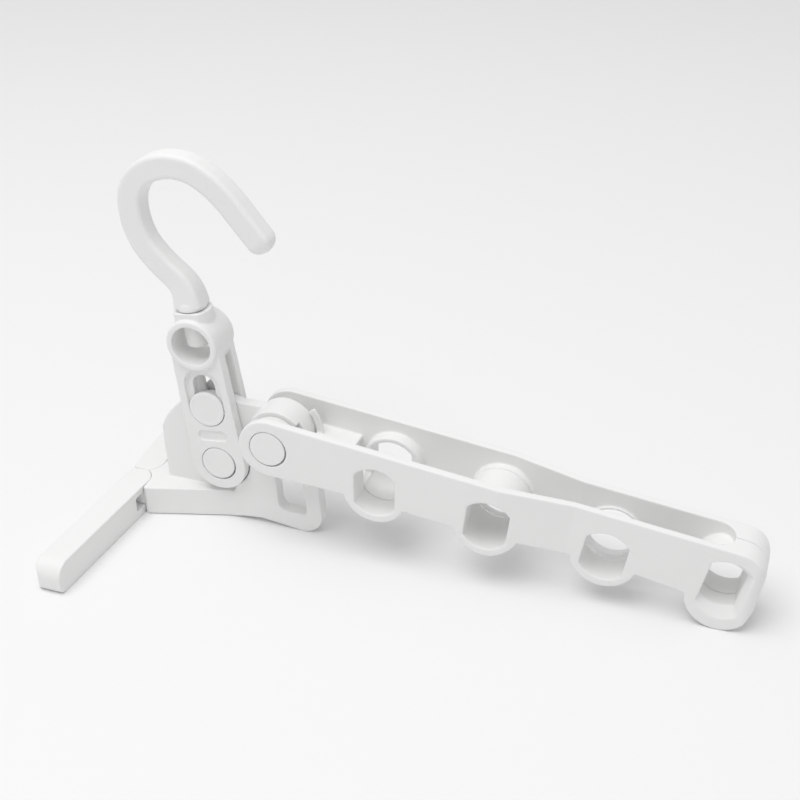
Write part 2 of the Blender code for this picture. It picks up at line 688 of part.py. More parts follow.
def make_fork():
    fork = upright("link_fork", [fork_side()], FORK_FRONT, FORK_REAR, PARTS)
    soften(fork, 0.8 * MM)
    hub_centre = (0.0, 0.0, HUB_RISE)
    hub = cylinder("link_hub", HUB_RADIUS, HUB_FRONT, HUB_REAR, "Y", hub_centre, CUTTERS)
    soften(hub, 0.7 * MM, 1)
    collar = cylinder("link_collar", COLLAR_RADIUS, 5 * MM, COLLAR_TOP, "Z", hub_centre, CUTTERS)
    beyond = 2 * COLLAR_RADIUS
    facet_loop = [(-beyond, 0.0), (beyond, 0.0), (beyond, HUB_RISE + beyond), (-beyond, HUB_RISE + beyond)]
    facet = upright("link_facet", [facet_loop], -beyond, COLLAR_FACE, CUTTERS)
    cut(collar, facet)
    join(fork, collar)
    wide = 30 * MM
    between = [(-wide, -wide), (wide, -wide), (wide, HUB_RISE)]
    between += arc((0.0, HUB_RISE), HUB_RADIUS + SLIT_CLEAR, 360, 180, 24) + [(-wide, HUB_RISE)]
    gap = upright("link_gap", [between], SLIT_FRONT, SLIT_REAR, CUTTERS)
    bore = cylinder("link_hub_bore", HUB_BORE, -20 * MM, 20 * MM, "Y", hub_centre, CUTTERS)
    pocket = cylinder("link_nub_pocket", NUB_RADIUS + FIT, 0.0, NUB_TOP + FIT, "Z", hub_centre, CUTTERS,
                      SMALL_ROUND)
    neck = cylinder("link_neck_bore", HOOK_SPIGOT_RADIUS + FIT, 0.0, 20 * MM, "Z", hub_centre, CUTTERS,
                    SMALL_ROUND)
    window = upright("link_window", [slot(BUTTON_RISE, BUTTON_RISE + BUTTON_TRAVEL, BUTTON_STEM + FIT)],
                     -20 * MM, 20 * MM, CUTTERS)
    pin_bore = cylinder("link_pin_bore", LINK_PIN_RADIUS + FIT, -20 * MM, 20 * MM, "Y", (0, 0, 0), CUTTERS,
                        SMALL_ROUND)
    helpers = [hub, collar, facet, gap, bore, pocket, neck, window, pin_bore]
    join(fork, hub)
    cut(fork, gap, bore, pocket, neck, window, pin_bore)
    for word, side, face in FORK_FACES:
        outside = side * 20 * MM
        track_loop = slot(BUTTON_RISE, BUTTON_RISE + BUTTON_TRAVEL, BUTTON_RADIUS + FIT)
        levels = sorted((face - side * TRACK_DEPTH, face + side * 0.2 * MM))
        track = upright(f"link_track_{word}", [track_loop], *levels, CUTTERS)
        pill_loop = arc((PILL_HALF - PILL_RADIUS, PILL_RISE), PILL_RADIUS, -90, 90, 10)
        pill_loop += arc((PILL_RADIUS - PILL_HALF, PILL_RISE), PILL_RADIUS, 90, 270, 10)
        levels = sorted((face - side * PILL_DEPTH, outside))
        pill = upright(f"link_pill_{word}", [pill_loop], *levels, CUTTERS)
        levels = sorted((face - side * (CAP_THICK + FIT), outside))
        recess = cylinder(f"link_cap_recess_{word}", LINK_CAP_RADIUS + FIT, *levels, "Y", (0, 0, 0), CUTTERS)
        cut(fork, track, pill, recess)
        helpers += [track, pill, recess]
    place(fork, LINK_PIVOT, -LINK_LEAN, helpers)
    material(fork, "link_white_plastic", (0.83, 0.83, 0.82), 0.45)


def make_link_pivot():
    sunk = CAP_THICK + FIT + 0.1 * MM
    pin = cylinder("link_pivot_pin", LINK_PIN_RADIUS, FORK_FRONT + sunk, FORK_REAR - sunk, "Y", (0, 0, 0),
                   PARTS, SMALL_ROUND)
    material(pin, "pin_plastic_link", (0.78, 0.78, 0.77), 0.4)
    pieces = [pin]
    for word, side, face in FORK_FACES:
        levels = sorted((face - side * CAP_THICK, face))
        cap = cylinder(f"link_pivot_cap_{word}", LINK_CAP_RADIUS, *levels, "Y", (0, 0, 0), PARTS)
        soften(cap, 0.3 * MM, 1)
        material(cap, f"cap_white_plastic_link_{word}", (0.84, 0.84, 0.83), 0.42)
        pieces.append(cap)
    for piece in pieces:
        place(piece, LINK_PIVOT, -LINK_LEAN)


def make_lock_button():
    """Two discs in the tracks, each with a stem through its window."""
    for (word, side, face), wall in zip(FORK_FACES, (SLIT_FRONT, SLIT_REAR)):
        levels = sorted((face - side * (TRACK_DEPTH - FIT), face + side * BUTTON_PROUD))
        disc = cylinder(f"lock_button_{word}", BUTTON_RADIUS, *levels, "Y", (0, 0, 0), PARTS)
        levels = sorted((wall + side * STEM_SHORT, face - side * 1.0 * MM))
        stem = cylinder(f"lock_stem_{word}", BUTTON_STEM, *levels, "Y", (0, 0, 0), CUTTERS, SMALL_ROUND)
        soften(disc, 0.3 * MM, 1)
        join(disc, stem)
        x, z = lean_point(BUTTON_RISE)
        place(disc, LINK_PIVOT + Vector((x, 0.0, z)), -LINK_LEAN, [stem])
        material(disc, f"button_white_plastic_{word}", (0.84, 0.84, 0.83), 0.42)


# Hook

def hook_line():
    """The hook's centre line in (x, z), from just above the collar, measured from the hub."""
    rises = [(-2.0, 16.2), (-2.5, 19.6), (-3.6, 23.4), (-6.4, 27.6), (-13.9, 34.2), (-21.3, 43.2), (-24.8, 54.0),
             (-24.3, 65.4), (-18.5, 73.9), (-8.6, 78.6), (2.2, 78.5), (11.5, 74.0), (19.1, 67.3),
             (26.3, 58.6), (32.7, 50.7)]
    return smooth_line([Vector(p) * MM for p in rises], 3)


def bar_section(half_wide, half_thick, corner, count=3):
    """A rounded rectangle, the bar's section."""
    loop = []
    for i, (sx, sy) in enumerate(((1, 1), (-1, 1), (-1, -1), (1, -1))):
        centre = (sx * (half_wide - corner), sy * (half_thick - corner))
        loop += arc(centre, corner, 90 * i, 90 * (i + 1), count)
    return loop


def hook_bar():
    """The bar swept along the line, wider at its foot and with a round end."""
    line = hook_line()
    heading = (line[-1] - line[-2]).normalized()
    reach = HOOK_WIDTH / 2
    ends = [math.radians(a) for a in (20, 40, 58, 74, 84)]
    line += [line[-1] + heading * reach * math.sin(a) for a in ends]
    sizes = [1.0 + FOOT_SWELL * max(0.0, 1.0 - i / 10) for i in range(len(line) - len(ends))]
    sizes += [math.cos(a) for a in ends]
    section = bpy.data.curves.new("hook_section", "CURVE")
    section.dimensions = "2D"
    loop = section.splines.new("POLY")
    corners = bar_section(HOOK_WIDTH / 2, HOOK_HALF, HOOK_CORNER)
    loop.points.add(len(corners) - 1)
    for point, (x, y) in zip(loop.points, corners):
        point.co = (x, y, 0.0, 1.0)
    loop.use_cyclic_u = True
    shape = bpy.data.objects.new("hook_section", section)
    bpy.context.scene.collection.objects.link(shape)
    curve = bpy.data.curves.new("hook", "CURVE")
    curve.dimensions = "3D"
    curve.twist_mode = "Z_UP"
    curve.bevel_mode = "OBJECT"
    curve.bevel_object = shape
    curve.use_fill_caps = True
    spline = curve.splines.new("POLY")
    spline.points.add(len(line) - 1)
    for point, place_at, size in zip(spline.points, line, sizes):
        point.co = (place_at.x, place_at.y, 0.0, 1.0)
        point.radius = size
    path = bpy.data.objects.new("hook_path", curve)
    bpy.context.scene.collection.objects.link(path)
    bpy.context.view_layer.update()
    mesh = bpy.data.meshes.new_from_object(path.evaluated_get(bpy.context.evaluated_depsgraph_get()))
    bpy.data.objects.remove(path, do_unlink=True)
    bpy.data.objects.remove(shape, do_unlink=True)
    bm = bmesh.new()
    bm.from_mesh(mesh)
    bmesh.ops.remove_doubles(bm, verts=bm.verts, dist=1e-6)
    bmesh.ops.recalc_face_normals(bm, faces=bm.faces)
    bm.to_mesh(mesh)
    bm.free()
    hook = bpy.data.objects.new("hook", mesh)
    PARTS.objects.link(hook)
    return stand_up(hook)


def make_hook():
    hook = hook_bar()
    low = COLLAR_TOP + FIT
    stem_profile = [(0.0, low + 6 * MM), (HOOK_HALF - 0.6 * MM, low + 6 * MM)]
    stem_profile += [(HOOK_STEM_RADIUS - 0.4 * MM, low + 3 * MM), (HOOK_STEM_RADIUS, low + 0.5 * MM)]
    stem_profile += [(HOOK_STEM_RADIUS - 0.4 * MM, low), (HOOK_SPIGOT_RADIUS, low)]
    stem_profile += [(HOOK_SPIGOT_RADIUS, SPIGOT_LOW), (0.0, SPIGOT_LOW)]
    stem = turned("hook_stem", stem_profile, CUTTERS)
    hub = LINK_PIVOT + Vector((lean_point(HUB_RISE)[0], 0.0, lean_point(HUB_RISE)[1]))
    hook.location = hub
    stem.location = hub
    stem.rotation_euler = (0.0, -LINK_LEAN, 0.0)
    join(hook, stem)
    nub_profile = [(0.0, NUB_TOP), (NUB_RADIUS, NUB_TOP), (NUB_RADIUS, NUB_BOTTOM + 1.6 * MM)]
    nub_profile += arc((NUB_RADIUS - 1.6 * MM, NUB_BOTTOM + 1.6 * MM), 1.6 * MM, 0, -90, 5)[1:]
    nub_profile += [(0.0, NUB_BOTTOM)]
    nub = turned("hook_retainer", nub_profile, PARTS)
    socket = cylinder("hook_retainer_socket", HOOK_SPIGOT_RADIUS + FIT, SPIGOT_LOW - FIT, 20 * MM, "Z",
                      (0, 0, 0), CUTTERS, SMALL_ROUND)
    cut(nub, socket)
    for item in (nub, socket):
        item.location = hub
        item.rotation_euler = (0.0, -LINK_LEAN, 0.0)
    material(hook, "hook_white_plastic", (0.83, 0.83, 0.82), 0.43)
    material(nub, "retainer_white_plastic", (0.8, 0.8, 0.79), 0.45)


def shade():
    """Smooth the round faces and keep the corners."""
    for obj in PARTS.objects:
        obj.data.shade_smooth()
        obj.data.set_sharp_from_angle(angle=math.radians(35))


make_bracket()
make_wing("front", -1)
make_wing("rear", 1)
make_fork()
make_link_pivot()
make_lock_button()
make_hook()
make_arm()
make_arm_pivot()
shade()
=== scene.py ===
# The folding drying hanger dressed for its photograph. Each moulding, cap and button is drawn again
# with finer curves and softer edges than its solid. The pins and washers keep their solids.
# Metres, +Z up. The arm and the hook lie in the plane y = 0 and the front is -Y.

import json
import math

import bmesh
import bpy
from mathutils import Matrix, Vector

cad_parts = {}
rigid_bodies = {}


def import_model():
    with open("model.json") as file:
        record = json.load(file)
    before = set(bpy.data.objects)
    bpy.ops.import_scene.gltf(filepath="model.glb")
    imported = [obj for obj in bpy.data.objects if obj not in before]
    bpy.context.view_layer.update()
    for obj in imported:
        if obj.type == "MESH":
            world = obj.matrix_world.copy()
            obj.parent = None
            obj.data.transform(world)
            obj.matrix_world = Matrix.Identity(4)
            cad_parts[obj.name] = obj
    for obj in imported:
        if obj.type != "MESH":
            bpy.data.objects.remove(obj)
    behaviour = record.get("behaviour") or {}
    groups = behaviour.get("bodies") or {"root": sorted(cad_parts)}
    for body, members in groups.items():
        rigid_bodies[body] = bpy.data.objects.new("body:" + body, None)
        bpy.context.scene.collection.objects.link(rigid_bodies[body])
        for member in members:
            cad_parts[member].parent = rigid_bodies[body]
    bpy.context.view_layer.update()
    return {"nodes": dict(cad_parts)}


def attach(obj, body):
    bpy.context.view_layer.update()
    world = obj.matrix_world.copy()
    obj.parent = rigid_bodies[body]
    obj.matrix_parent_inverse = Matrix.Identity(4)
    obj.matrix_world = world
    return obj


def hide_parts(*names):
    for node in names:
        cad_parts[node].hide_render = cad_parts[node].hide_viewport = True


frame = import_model()

MM = 0.001
FIT = 0.3 * MM

# Pivot places in the plane y = 0
ARM_PIVOT = Vector((-64.75, 0.0, 50.1)) * MM
ARM_SLOPE = math.radians(6.8)
LINK_PIVOT = ARM_PIVOT + Vector((-29.3, 0.0, -19.1)) * MM
LINK_LEAN = math.radians(7.15)
WING_PIVOT_X = LINK_PIVOT.x - 46.7 * MM
WING_PIVOT_Y = 8.2 * MM

# Arm, in its own frame: u runs along the arm and w across it, from the pivot
STRAP_OUT = 15.9 * MM
STRAP_IN = 12.2 * MM
TIP_OUT = 11.0 * MM
TIP_IN = 7.6 * MM
BEND_START = 103.0 * MM
BEND_END = 134.0 * MM
ARM_TOP = 13.8 * MM
ARM_UNDER = 11.2 * MM
HOLE_PITCH = 50.0 * MM
HOLE_DROPS = (5.8 * MM, 5.9 * MM, 7.0 * MM, 4.6 * MM)
HOLE_LEANS = (6.0, 0.0, -3.0, -6.0)
HOLE_RADIUS = 11.6 * MM
HOLE_FLAT = 9.2 * MM
SOCKET_RADIUS = 12.8 * MM
SOCKET_DROP = 1.1 * MM
TIP_HOLE = 198.7 * MM
TIP_HOLE_RADIUS = 11.0 * MM
TIP_HOLE_FLAT = 7.4 * MM
FUNNEL_RADIUS = 16.4 * MM
FUNNEL_DEPTH = 2.9 * MM
FUNNEL_SPREAD = 1.2
FUNNEL_SHIFT = 1.2 * MM
LOBE_RADIUS = 14.4 * MM
LOBE_DROP = 0.8 * MM
TUBE_RADII = (13.8 * MM, 13.8 * MM, 12.8 * MM, 13.8 * MM)
ARM_END = 214.0 * MM
TIP_LOBE = Vector((199.4 * MM, -12.2 * MM))
TIP_LOBE_RADIUS = 14.35 * MM
VOID_END = 198.5 * MM
FIRST_COLLAR = -3.5 * MM
FIRST_RING = 6.5 * MM
TROUGH_LEVEL = -13.0 * MM
SECOND_TUBE = 8.6 * MM
THIRD_TUBE = 4.0 * MM
THIRD_RIM = 6.8 * MM
SHELF_TOP = 1.5 * MM
SHELF_THICK = 2.5 * MM
SHELF_END = 33.5 * MM
TAB_RADIUS = 17.7 * MM
TAB_TURN = 46.8
TAB_FRONT = 4.6 * MM
TAB_BACK = 6.4 * MM
ARM_ROUNDING = 0.8 * MM

# Knuckle, body plate and loop of the bracket
KNUCKLE_RADIUS = 13.7 * MM
KNUCKLE_HALF = 6.8 * MM
NOTCH_LEVEL = -3.8 * MM
BODY_HALF = 3.3 * MM
SECTOR_RADIUS = 32.3 * MM
FOOT_HEIGHT = 14.6 * MM
FOOT_ROOT_HALF = 14.2 * MM
FOOT_STEM_HALF = 3.5 * MM
FOOT_LENGTH = 38.0 * MM
FOOT_ROUNDING = 1.0 * MM

# Link fork, hub and collar
FORK_FRONT = -6.8 * MM
FORK_REAR = 8.3 * MM
SLIT_FRONT = -1.4 * MM
SLIT_REAR = 4.5 * MM
SLIT_CLEAR = 1.0 * MM
FORK_FOOT_RADIUS = 13.2 * MM
FORK_TOP_RADIUS = 11.6 * MM
HUB_RISE = 60.1 * MM
HUB_RADIUS = 12.0 * MM
HUB_FRONT = -8.6 * MM
HUB_REAR = 10.2 * MM
HUB_BORE = 9.2 * MM
COLLAR_RADIUS = 8.6 * MM
COLLAR_FACE = -6.7 * MM
COLLAR_TOP = 14.6 * MM
COLLAR_ROOT = 5.0 * MM
FORK_ROUNDING = 0.8 * MM
HUB_ROUNDING = 0.7 * MM
PILL_RISE = 14.5 * MM
PILL_HALF = 7.2 * MM
PILL_RADIUS = 2.6 * MM
PILL_DEPTH = 1.0 * MM

FORK_FACES = (("front", -1, FORK_FRONT), ("rear", 1, FORK_REAR))

# Pivot pins and their flush caps, which are drawn deeper than their solids for a darker ring
LINK_CAP_RADIUS = 8.1 * MM
LINK_PIN_RADIUS = 4.0 * MM
ARM_CAP_RADIUS = 8.4 * MM
ARM_PIN_RADIUS = 4.5 * MM
CAP_THICK = 2.6 * MM
CAP_SLACK = 0.2 * MM
WASHER_RADIUS = 9.4 * MM

# Lock button, which slides in a recessed track of the fork
BUTTON_RADIUS = 8.3 * MM
BUTTON_RISE = 28.2 * MM
BUTTON_TRAVEL = 11.0 * MM
BUTTON_PROUD = 0.3 * MM
BUTTON_STEM = 5.0 * MM
STEM_SHORT = 2.0 * MM
BUTTON_DISH = 0.15 * MM
BUTTON_RIM = 1.5 * MM
TRACK_DEPTH = 1.8 * MM

# Hook: a bar that swivels on the collar
HOOK_HALF = 4.8 * MM
HOOK_WIDTH = 10.8 * MM
HOOK_CORNER = 1.9 * MM
HOOK_STEM_RADIUS = 6.7 * MM
HOOK_SPIGOT_RADIUS = 3.6 * MM
FOOT_SWELL = 0.24
FOOT_POINTS = 10
HOOK_END_ANGLES = (20, 40, 58, 74, 84)
SPIGOT_LOW = 4.0 * MM
NUB_RADIUS = 5.7 * MM
NUB_TOP = 10.2 * MM
NUB_BOTTOM = -2.3 * MM
NUB_CORNER = 1.6 * MM

# Wings
WING_WIDTH = 12.9 * MM
WING_BEHIND = 3.3 * MM
WING_HEIGHT = 14.6 * MM
WING_LENGTH = 71.5 * MM
WING_SPLAY = math.radians(3.5)
WING_EDGE = 1.2 * MM
RIM_START = 3.0 * MM
RIM_ANGLE = math.radians(60)
WING_END_TOP = 7.5 * MM
WING_END_FOOT = 3.6 * MM
WING_SLOT_LOW = 3.9 * MM
WING_SLOT_HIGH = 11.1 * MM
WING_SLOT_END = 11.0 * MM
HINGE_SNUG = 0.2 * MM
TONGUE_RADIUS = 3.0 * MM
WING_PIN_RADIUS = 1.6 * MM
WING_PIN_UNDER = 2.2 * MM
WING_PIN_OVER = 2.0 * MM

ROUND = 80
SMALL_ROUND = 56
FINE = 2

# A level outside every plate and strap, for cutters that go right through, and the distance under
# which two points are one
BEYOND = 20 * MM
TINY = 0.001 * MM

PARTS = bpy.context.scene.collection
CUTTERS = bpy.data.collections.new("shaping")
PARTS.children.link(CUTTERS)
PIECES = []

# Camera, with its azimuth, elevation and roll in degrees, floor and light
CAMERA_PLACE = Vector((147.08, -441.68, 357.19)) * MM
CAMERA_ANGLES = (19.49, 30.88, -0.41)
CAMERA_LENS = 58.5
FLOOR_HALF = 4.0
FLOOR_CENTRE = (0.03, 0.12, 0.0)
FLOOR_NEAR = 0.1
FLOOR_FAR = 0.7
FLOOR_PALE = (0.86, 0.86, 0.858)
FLOOR_EDGE = (0.86, 0.862, 0.865)
SKY_LOW = 0.4
SKY_HIGH = 0.75
SKY_SEEN = 0.95
LAMP_SIZE = 1.6
LAMP_POWER = 21.0
LAMP_PLACE = (-0.3, -0.55, 1.9)

# The softness of the mouldings: the grid that they are drawn again on, how often it is relaxed, the
# share of that which reaches the crisp places, and how many faces each keeps
GRID = 0.34 * MM
FINE_GRID = 0.24 * MM
EDGE_PASSES = 4
ARM_PASSES = 9
HOOK_PASSES = 6
SMALL_PASSES = 2
HELD_SHARE = 0.15
CRISP_BAND = 1.0 * MM
FLAT_WEIGHT = 60
ARM_FACES = 60000
BRACKET_FACES = 36000
LINK_FACES = 36000
HOOK_FACES = 24000
WING_FACES = 14000
SMALL_FACES = 5000


def arc(centre, radius, start_angle, end_angle, count):
    """Points on an arc, angles in degrees, both ends included."""
    count *= FINE
    step = (end_angle - start_angle) / count
    angles = [math.radians(start_angle + step * i) for i in range(count + 1)]
    return [(centre[0] + radius * math.cos(a), centre[1] + radius * math.sin(a)) for a in angles]


def linked(name, bm, collection):
    """A new object from a finished bmesh."""
    mesh = bpy.data.meshes.new(name)
    bm.to_mesh(mesh)
    bm.free()
    obj = bpy.data.objects.new(name, mesh)
    collection.objects.link(obj)
    return obj


def smooth_line(points, count):
    """Points on a Catmull-Rom curve through the given ones."""
    ends = [2 * points[0] - points[1]] + points + [2 * points[-1] - points[-2]]
    line = []
    for i in range(len(points) - 1):
        a, b, c, d = ends[i:i + 4]
        for k in range(count):
            t = k / count
            line.append(0.5 * (2 * b + (c - a) * t + (2 * a - 5 * b + 4 * c - d) * t * t
                               + (3 * b - a - 3 * c + d) * t ** 3))
    return line + [points[-1]]


def welded(curve_object):
    """The mesh of a curve with its caps closed, in place of the curve."""
    bpy.context.view_layer.update()
    evaluated = curve_object.evaluated_get(bpy.context.evaluated_depsgraph_get())
    mesh = bpy.data.meshes.new_from_object(evaluated)
    bpy.data.objects.remove(curve_object, do_unlink=True)
    bm = bmesh.new()
    bm.from_mesh(mesh)
    bmesh.ops.remove_doubles(bm, verts=bm.verts, dist=TINY)
    bmesh.ops.recalc_face_normals(bm, faces=bm.faces)
    bm.to_mesh(mesh)
    bm.free()
    return mesh


def outline(name, loops, low, high, collection):
    """A flat outline, with any further loops as holes, filled between two levels along local Z."""
    curve = bpy.data.curves.new(name, "CURVE")
    curve.dimensions = "2D"
    curve.fill_mode = "BOTH"
    curve.extrude = (high - low) / 2
    for loop in loops:
        spline = curve.splines.new("POLY")
        spline.points.add(len(loop) - 1)
        for point, (x, y) in zip(spline.points, loop):
            point.co = (x, y, 0.0, 1.0)
        spline.use_cyclic_u = True
    flat = bpy.data.objects.new(name + "_curve", curve)
    PARTS.objects.link(flat)
    mesh = welded(flat)
    mesh.transform(Matrix.Translation((0.0, 0.0, (low + high) / 2)))
    mesh.name = name
    obj = bpy.data.objects.new(name, mesh)
    collection.objects.link(obj)
    return obj


def stand_up(obj):
    """Turn an outline drawn in XY so that it stands in the XZ plane, its levels along Y."""
    obj.data.transform(Matrix.Rotation(math.pi / 2, 4, "X"))
    return obj


def upright(name, loops, front, back, collection):
    """An outline in (x, z), filled from y = front to y = back."""
    return stand_up(outline(name, loops, -back, -front, collection))


def cylinder(name, radius, low, high, axis, centre, collection, segments=ROUND):
    """A round bar along Y or Z, with its mesh placed at the centre given."""
    turn = Matrix.Rotation(math.pi / 2, 4, "X") if axis == "Y" else Matrix.Identity(4)
    along = Vector((0.0, 1.0, 0.0)) if axis == "Y" else Vector((0.0, 0.0, 1.0))
    middle = Matrix.Translation(Vector(centre) + along * (low + high) / 2)
    bm = bmesh.new()
    bmesh.ops.create_cone(bm, cap_ends=True, segments=segments, radius1=radius, radius2=radius,
                          depth=high - low, matrix=middle @ turn)
    return linked(name, bm, collection)


def turned(name, profile, collection):
    """A profile of (radius, height) points, top to bottom, turned about Z."""
    mesh = bpy.data.meshes.new(name)
    points = [(r, 0.0, h) for r, h in profile]
    mesh.from_pydata(points, [(i, i + 1) for i in range(len(points) - 1)], [])
    obj = bpy.data.objects.new(name, mesh)
    collection.objects.link(obj)
    screw = obj.modifiers.new("turn", "SCREW")
    screw.axis = "Z"
    screw.angle = 2 * math.pi
    screw.steps = SMALL_ROUND
    screw.render_steps = SMALL_ROUND
    screw.use_merge_vertices = True
    screw.merge_threshold = 0.01 * MM
    return obj


def boolean(obj, cutter, operation):
    """Join, cut or keep the overlap with a hidden helper shape."""
    cutter.hide_render = True
    cutter.display_type = "WIRE"
    modifier = obj.modifiers.new(cutter.name, "BOOLEAN")
    modifier.operation = operation
    modifier.object = cutter
    modifier.solver = "EXACT"


def cut(obj, *cutters):
    for cutter in cutters:
        boolean(obj, cutter, "DIFFERENCE")


def join(obj, *helpers):
    for helper in helpers:
        boolean(obj, helper, "UNION")


def keep(obj, helper):
    boolean(obj, helper, "INTERSECT")


def soften(obj, width, segments=2, angle=40.0):
    """Round the sharp edges a little."""
    modifier = obj.modifiers.new("rounded_edges", "BEVEL")
    modifier.width = width
    modifier.segments = segments
    modifier.limit_method = "ANGLE"
    modifier.angle_limit = math.radians(angle)
    modifier.use_clamp_overlap = True
    return modifier


def place(obj, location, turn=0.0, helpers=()):
    """Put a piece, and the helpers that shape it, at a pivot, turned about Y."""
    for item in (obj, *helpers):
        item.location = location
        item.rotation_euler = (0.0, turn, 0.0)


def applied(obj):
    """Take over the mesh that the modifiers make, and drop them."""
    bpy.context.view_layer.update()
    evaluated = obj.evaluated_get(bpy.context.evaluated_depsgraph_get())
    mesh = bpy.data.meshes.new_from_object(evaluated)
    obj.modifiers.clear()
    obj.data = mesh
    return mesh


def loose_points(obj, crisp):
    """Mark how far each point may relax: little in the crisp upright rounds (x, z, radius) given."""
    group = obj.vertex_groups.new(name="relaxed")
    for vertex in obj.data.vertices:
        x, _, z = vertex.co
        held = any((x - cx) ** 2 + (z - cz) ** 2 < radius ** 2 for cx, cz, radius in crisp)
        group.add([vertex.index], HELD_SHARE if held else 1.0, "REPLACE")
    return group.name


def finish_moulding(obj, node, body, slot_name, faces, passes=EDGE_PASSES, grid=GRID, crisp=()):
    """Give a piece the soft edges of a moulding, then put it in its solid's place."""
    applied(obj)
    remesh = obj.modifiers.new("even_grid", "REMESH")
    remesh.mode = "VOXEL"
    remesh.voxel_size = grid
    mesh = applied(obj)
    relax = obj.modifiers.new("moulded_edges", "SMOOTH")
    relax.iterations = passes
    if crisp:
        relax.vertex_group = loose_points(obj, crisp)
    thin = obj.modifiers.new("fewer_faces", "DECIMATE")
    thin.ratio = min(1.0, faces / (2 * len(mesh.polygons)))
    mesh = applied(obj)
    mesh.shade_smooth()
    even = obj.modifiers.new("even_light", "WEIGHTED_NORMAL")
    even.weight = FLAT_WEIGHT
    applied(obj)
    obj.vertex_groups.clear()
    obj.data.transform(obj.matrix_world)
    obj.matrix_world = Matrix.Identity(4)
    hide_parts(node)
    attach(obj, body)
    PIECES.append((obj, slot_name))


def lean_point(along, across=0.0):
    """A point on the leaning link, from the link pivot, as (x, z)."""
    sine = math.sin(LINK_LEAN)
    cosine = math.cos(LINK_LEAN)
    return (-sine * along + cosine * across, cosine * along + sine * across)


def slot(length_low, length_high, radius, count=24):
    """A round-ended slot along local Z, as (x, z) points."""
    top = arc((0.0, length_high), radius, 0, 180, count)
    bottom = arc((0.0, length_low), radius, 180, 360, count)
    return top + bottom


def hole_outline(centre, radius, flat, lean=0.0, count=9):
    """A circle with two flats across the arm, at the given half width."""
    half = math.degrees(math.acos(flat / radius))
    loop = arc((0.0, 0.0), radius, half, 180 - half, count)
    loop += arc((0.0, 0.0), radius, 180 + half, 360 - half, count)
    turn = Matrix.Rotation(math.radians(lean), 2)
    return [(centre[0] + p.x, centre[1] + p.y) for p in (turn @ Vector(q) for q in loop)]


def arm_holes():
    """Centre and lean of the four openings, from the pivot out."""
    along = (HOLE_PITCH, 2 * HOLE_PITCH, 3 * HOLE_PITCH, TIP_HOLE)
    centres = [(u, -drop) for u, drop in zip(along, HOLE_DROPS)]
    return list(zip(centres, HOLE_LEANS))


def lobe(centre, radius, level):
    """The round lobe under an opening, from the lower edge down, between two levels of w."""
    low = math.degrees(math.asin((level - centre[1]) / radius))
    return arc(centre, radius, 180 - low, 360 + low, 16)


def arm_side():
    """The arm seen from the front, anticlockwise from its under edge at the pivot."""
    under = -ARM_UNDER
    side = []
    for (u, w), _ in arm_holes()[:3]:
        side += lobe((u, w - LOBE_DROP), LOBE_RADIUS, under)
    side += [(184.5 * MM, under - 1.5 * MM)]
    side += arc(TIP_LOBE, TIP_LOBE_RADIUS, 185, 325, 14)
    side += [(ARM_END - 0.6 * MM, -14.0 * MM)]
    side += arc((ARM_END - 11.0 * MM, 2.6 * MM), 11.0 * MM, 0, 90, 8)
    side += arc((0.0, 0.0), ARM_TOP, 90, 270, 20)
    return side


def strap_plan(side):
    """One half of the arm seen from above, its outer face towards side = -1 or +1."""
    seam = FIT / 2
    corner = 5.0 * MM
    nose = 7.0 * MM
    outer = [(-BEYOND, STRAP_OUT), (BEND_START, STRAP_OUT), (BEND_END, TIP_OUT)]
    outer += arc((ARM_END - corner, TIP_OUT - corner), corner, 90, 0, 8)
    inner = [(ARM_END, seam), (VOID_END, seam)]
    inner += arc((VOID_END - nose, TIP_IN - nose), nose, 0, 90, 10)
    inner += [(BEND_END, TIP_IN), (BEND_START, STRAP_IN), (-BEYOND, STRAP_IN)]
    return [(u, side * y) for u, y in outer + inner]


def tube(name, centre, radius, start, end):
    """A round wall about an opening, between two levels of y."""
    ring = [arc(centre, radius, 0, 350, 35)]
    return upright(name, ring, min(start, end), max(start, end), CUTTERS)


def trough(name, centre):
    """The lower wall of the first tube, which leaves room above it for the folded link."""
    radius = TUBE_RADII[0]
    half = math.degrees(math.asin((TROUGH_LEVEL - centre[1]) / radius))
    loop = arc(centre, radius, 180 - half, 360 + half, 14)
    return upright(name, [loop], FIRST_COLLAR + FIT, FIRST_RING + 1.0 * MM, CUTTERS)


def arm_half(name, side, tube_ends):
    """One moulded half of the arm. Each of its tubes runs from the strap to a level of y."""
    half = outline(name, [strap_plan(side)], -2 * BEYOND, BEYOND, PARTS)
    shape = upright(name + "_side", [arm_side()], -BEYOND, BEYOND, CUTTERS)
    keep(half, shape)
    helpers = [shape]
    for i, ((centre, _), end) in enumerate(zip(arm_holes(), tube_ends)):
        wall = TIP_IN if i > 1 else STRAP_IN
        root = wall + 1.5 * MM
        ring = tube(f"{name}_tube_{i + 1}", centre, TUBE_RADII[i], side * root, end)
        join(half, ring)
        helpers.append(ring)
    return half, helpers


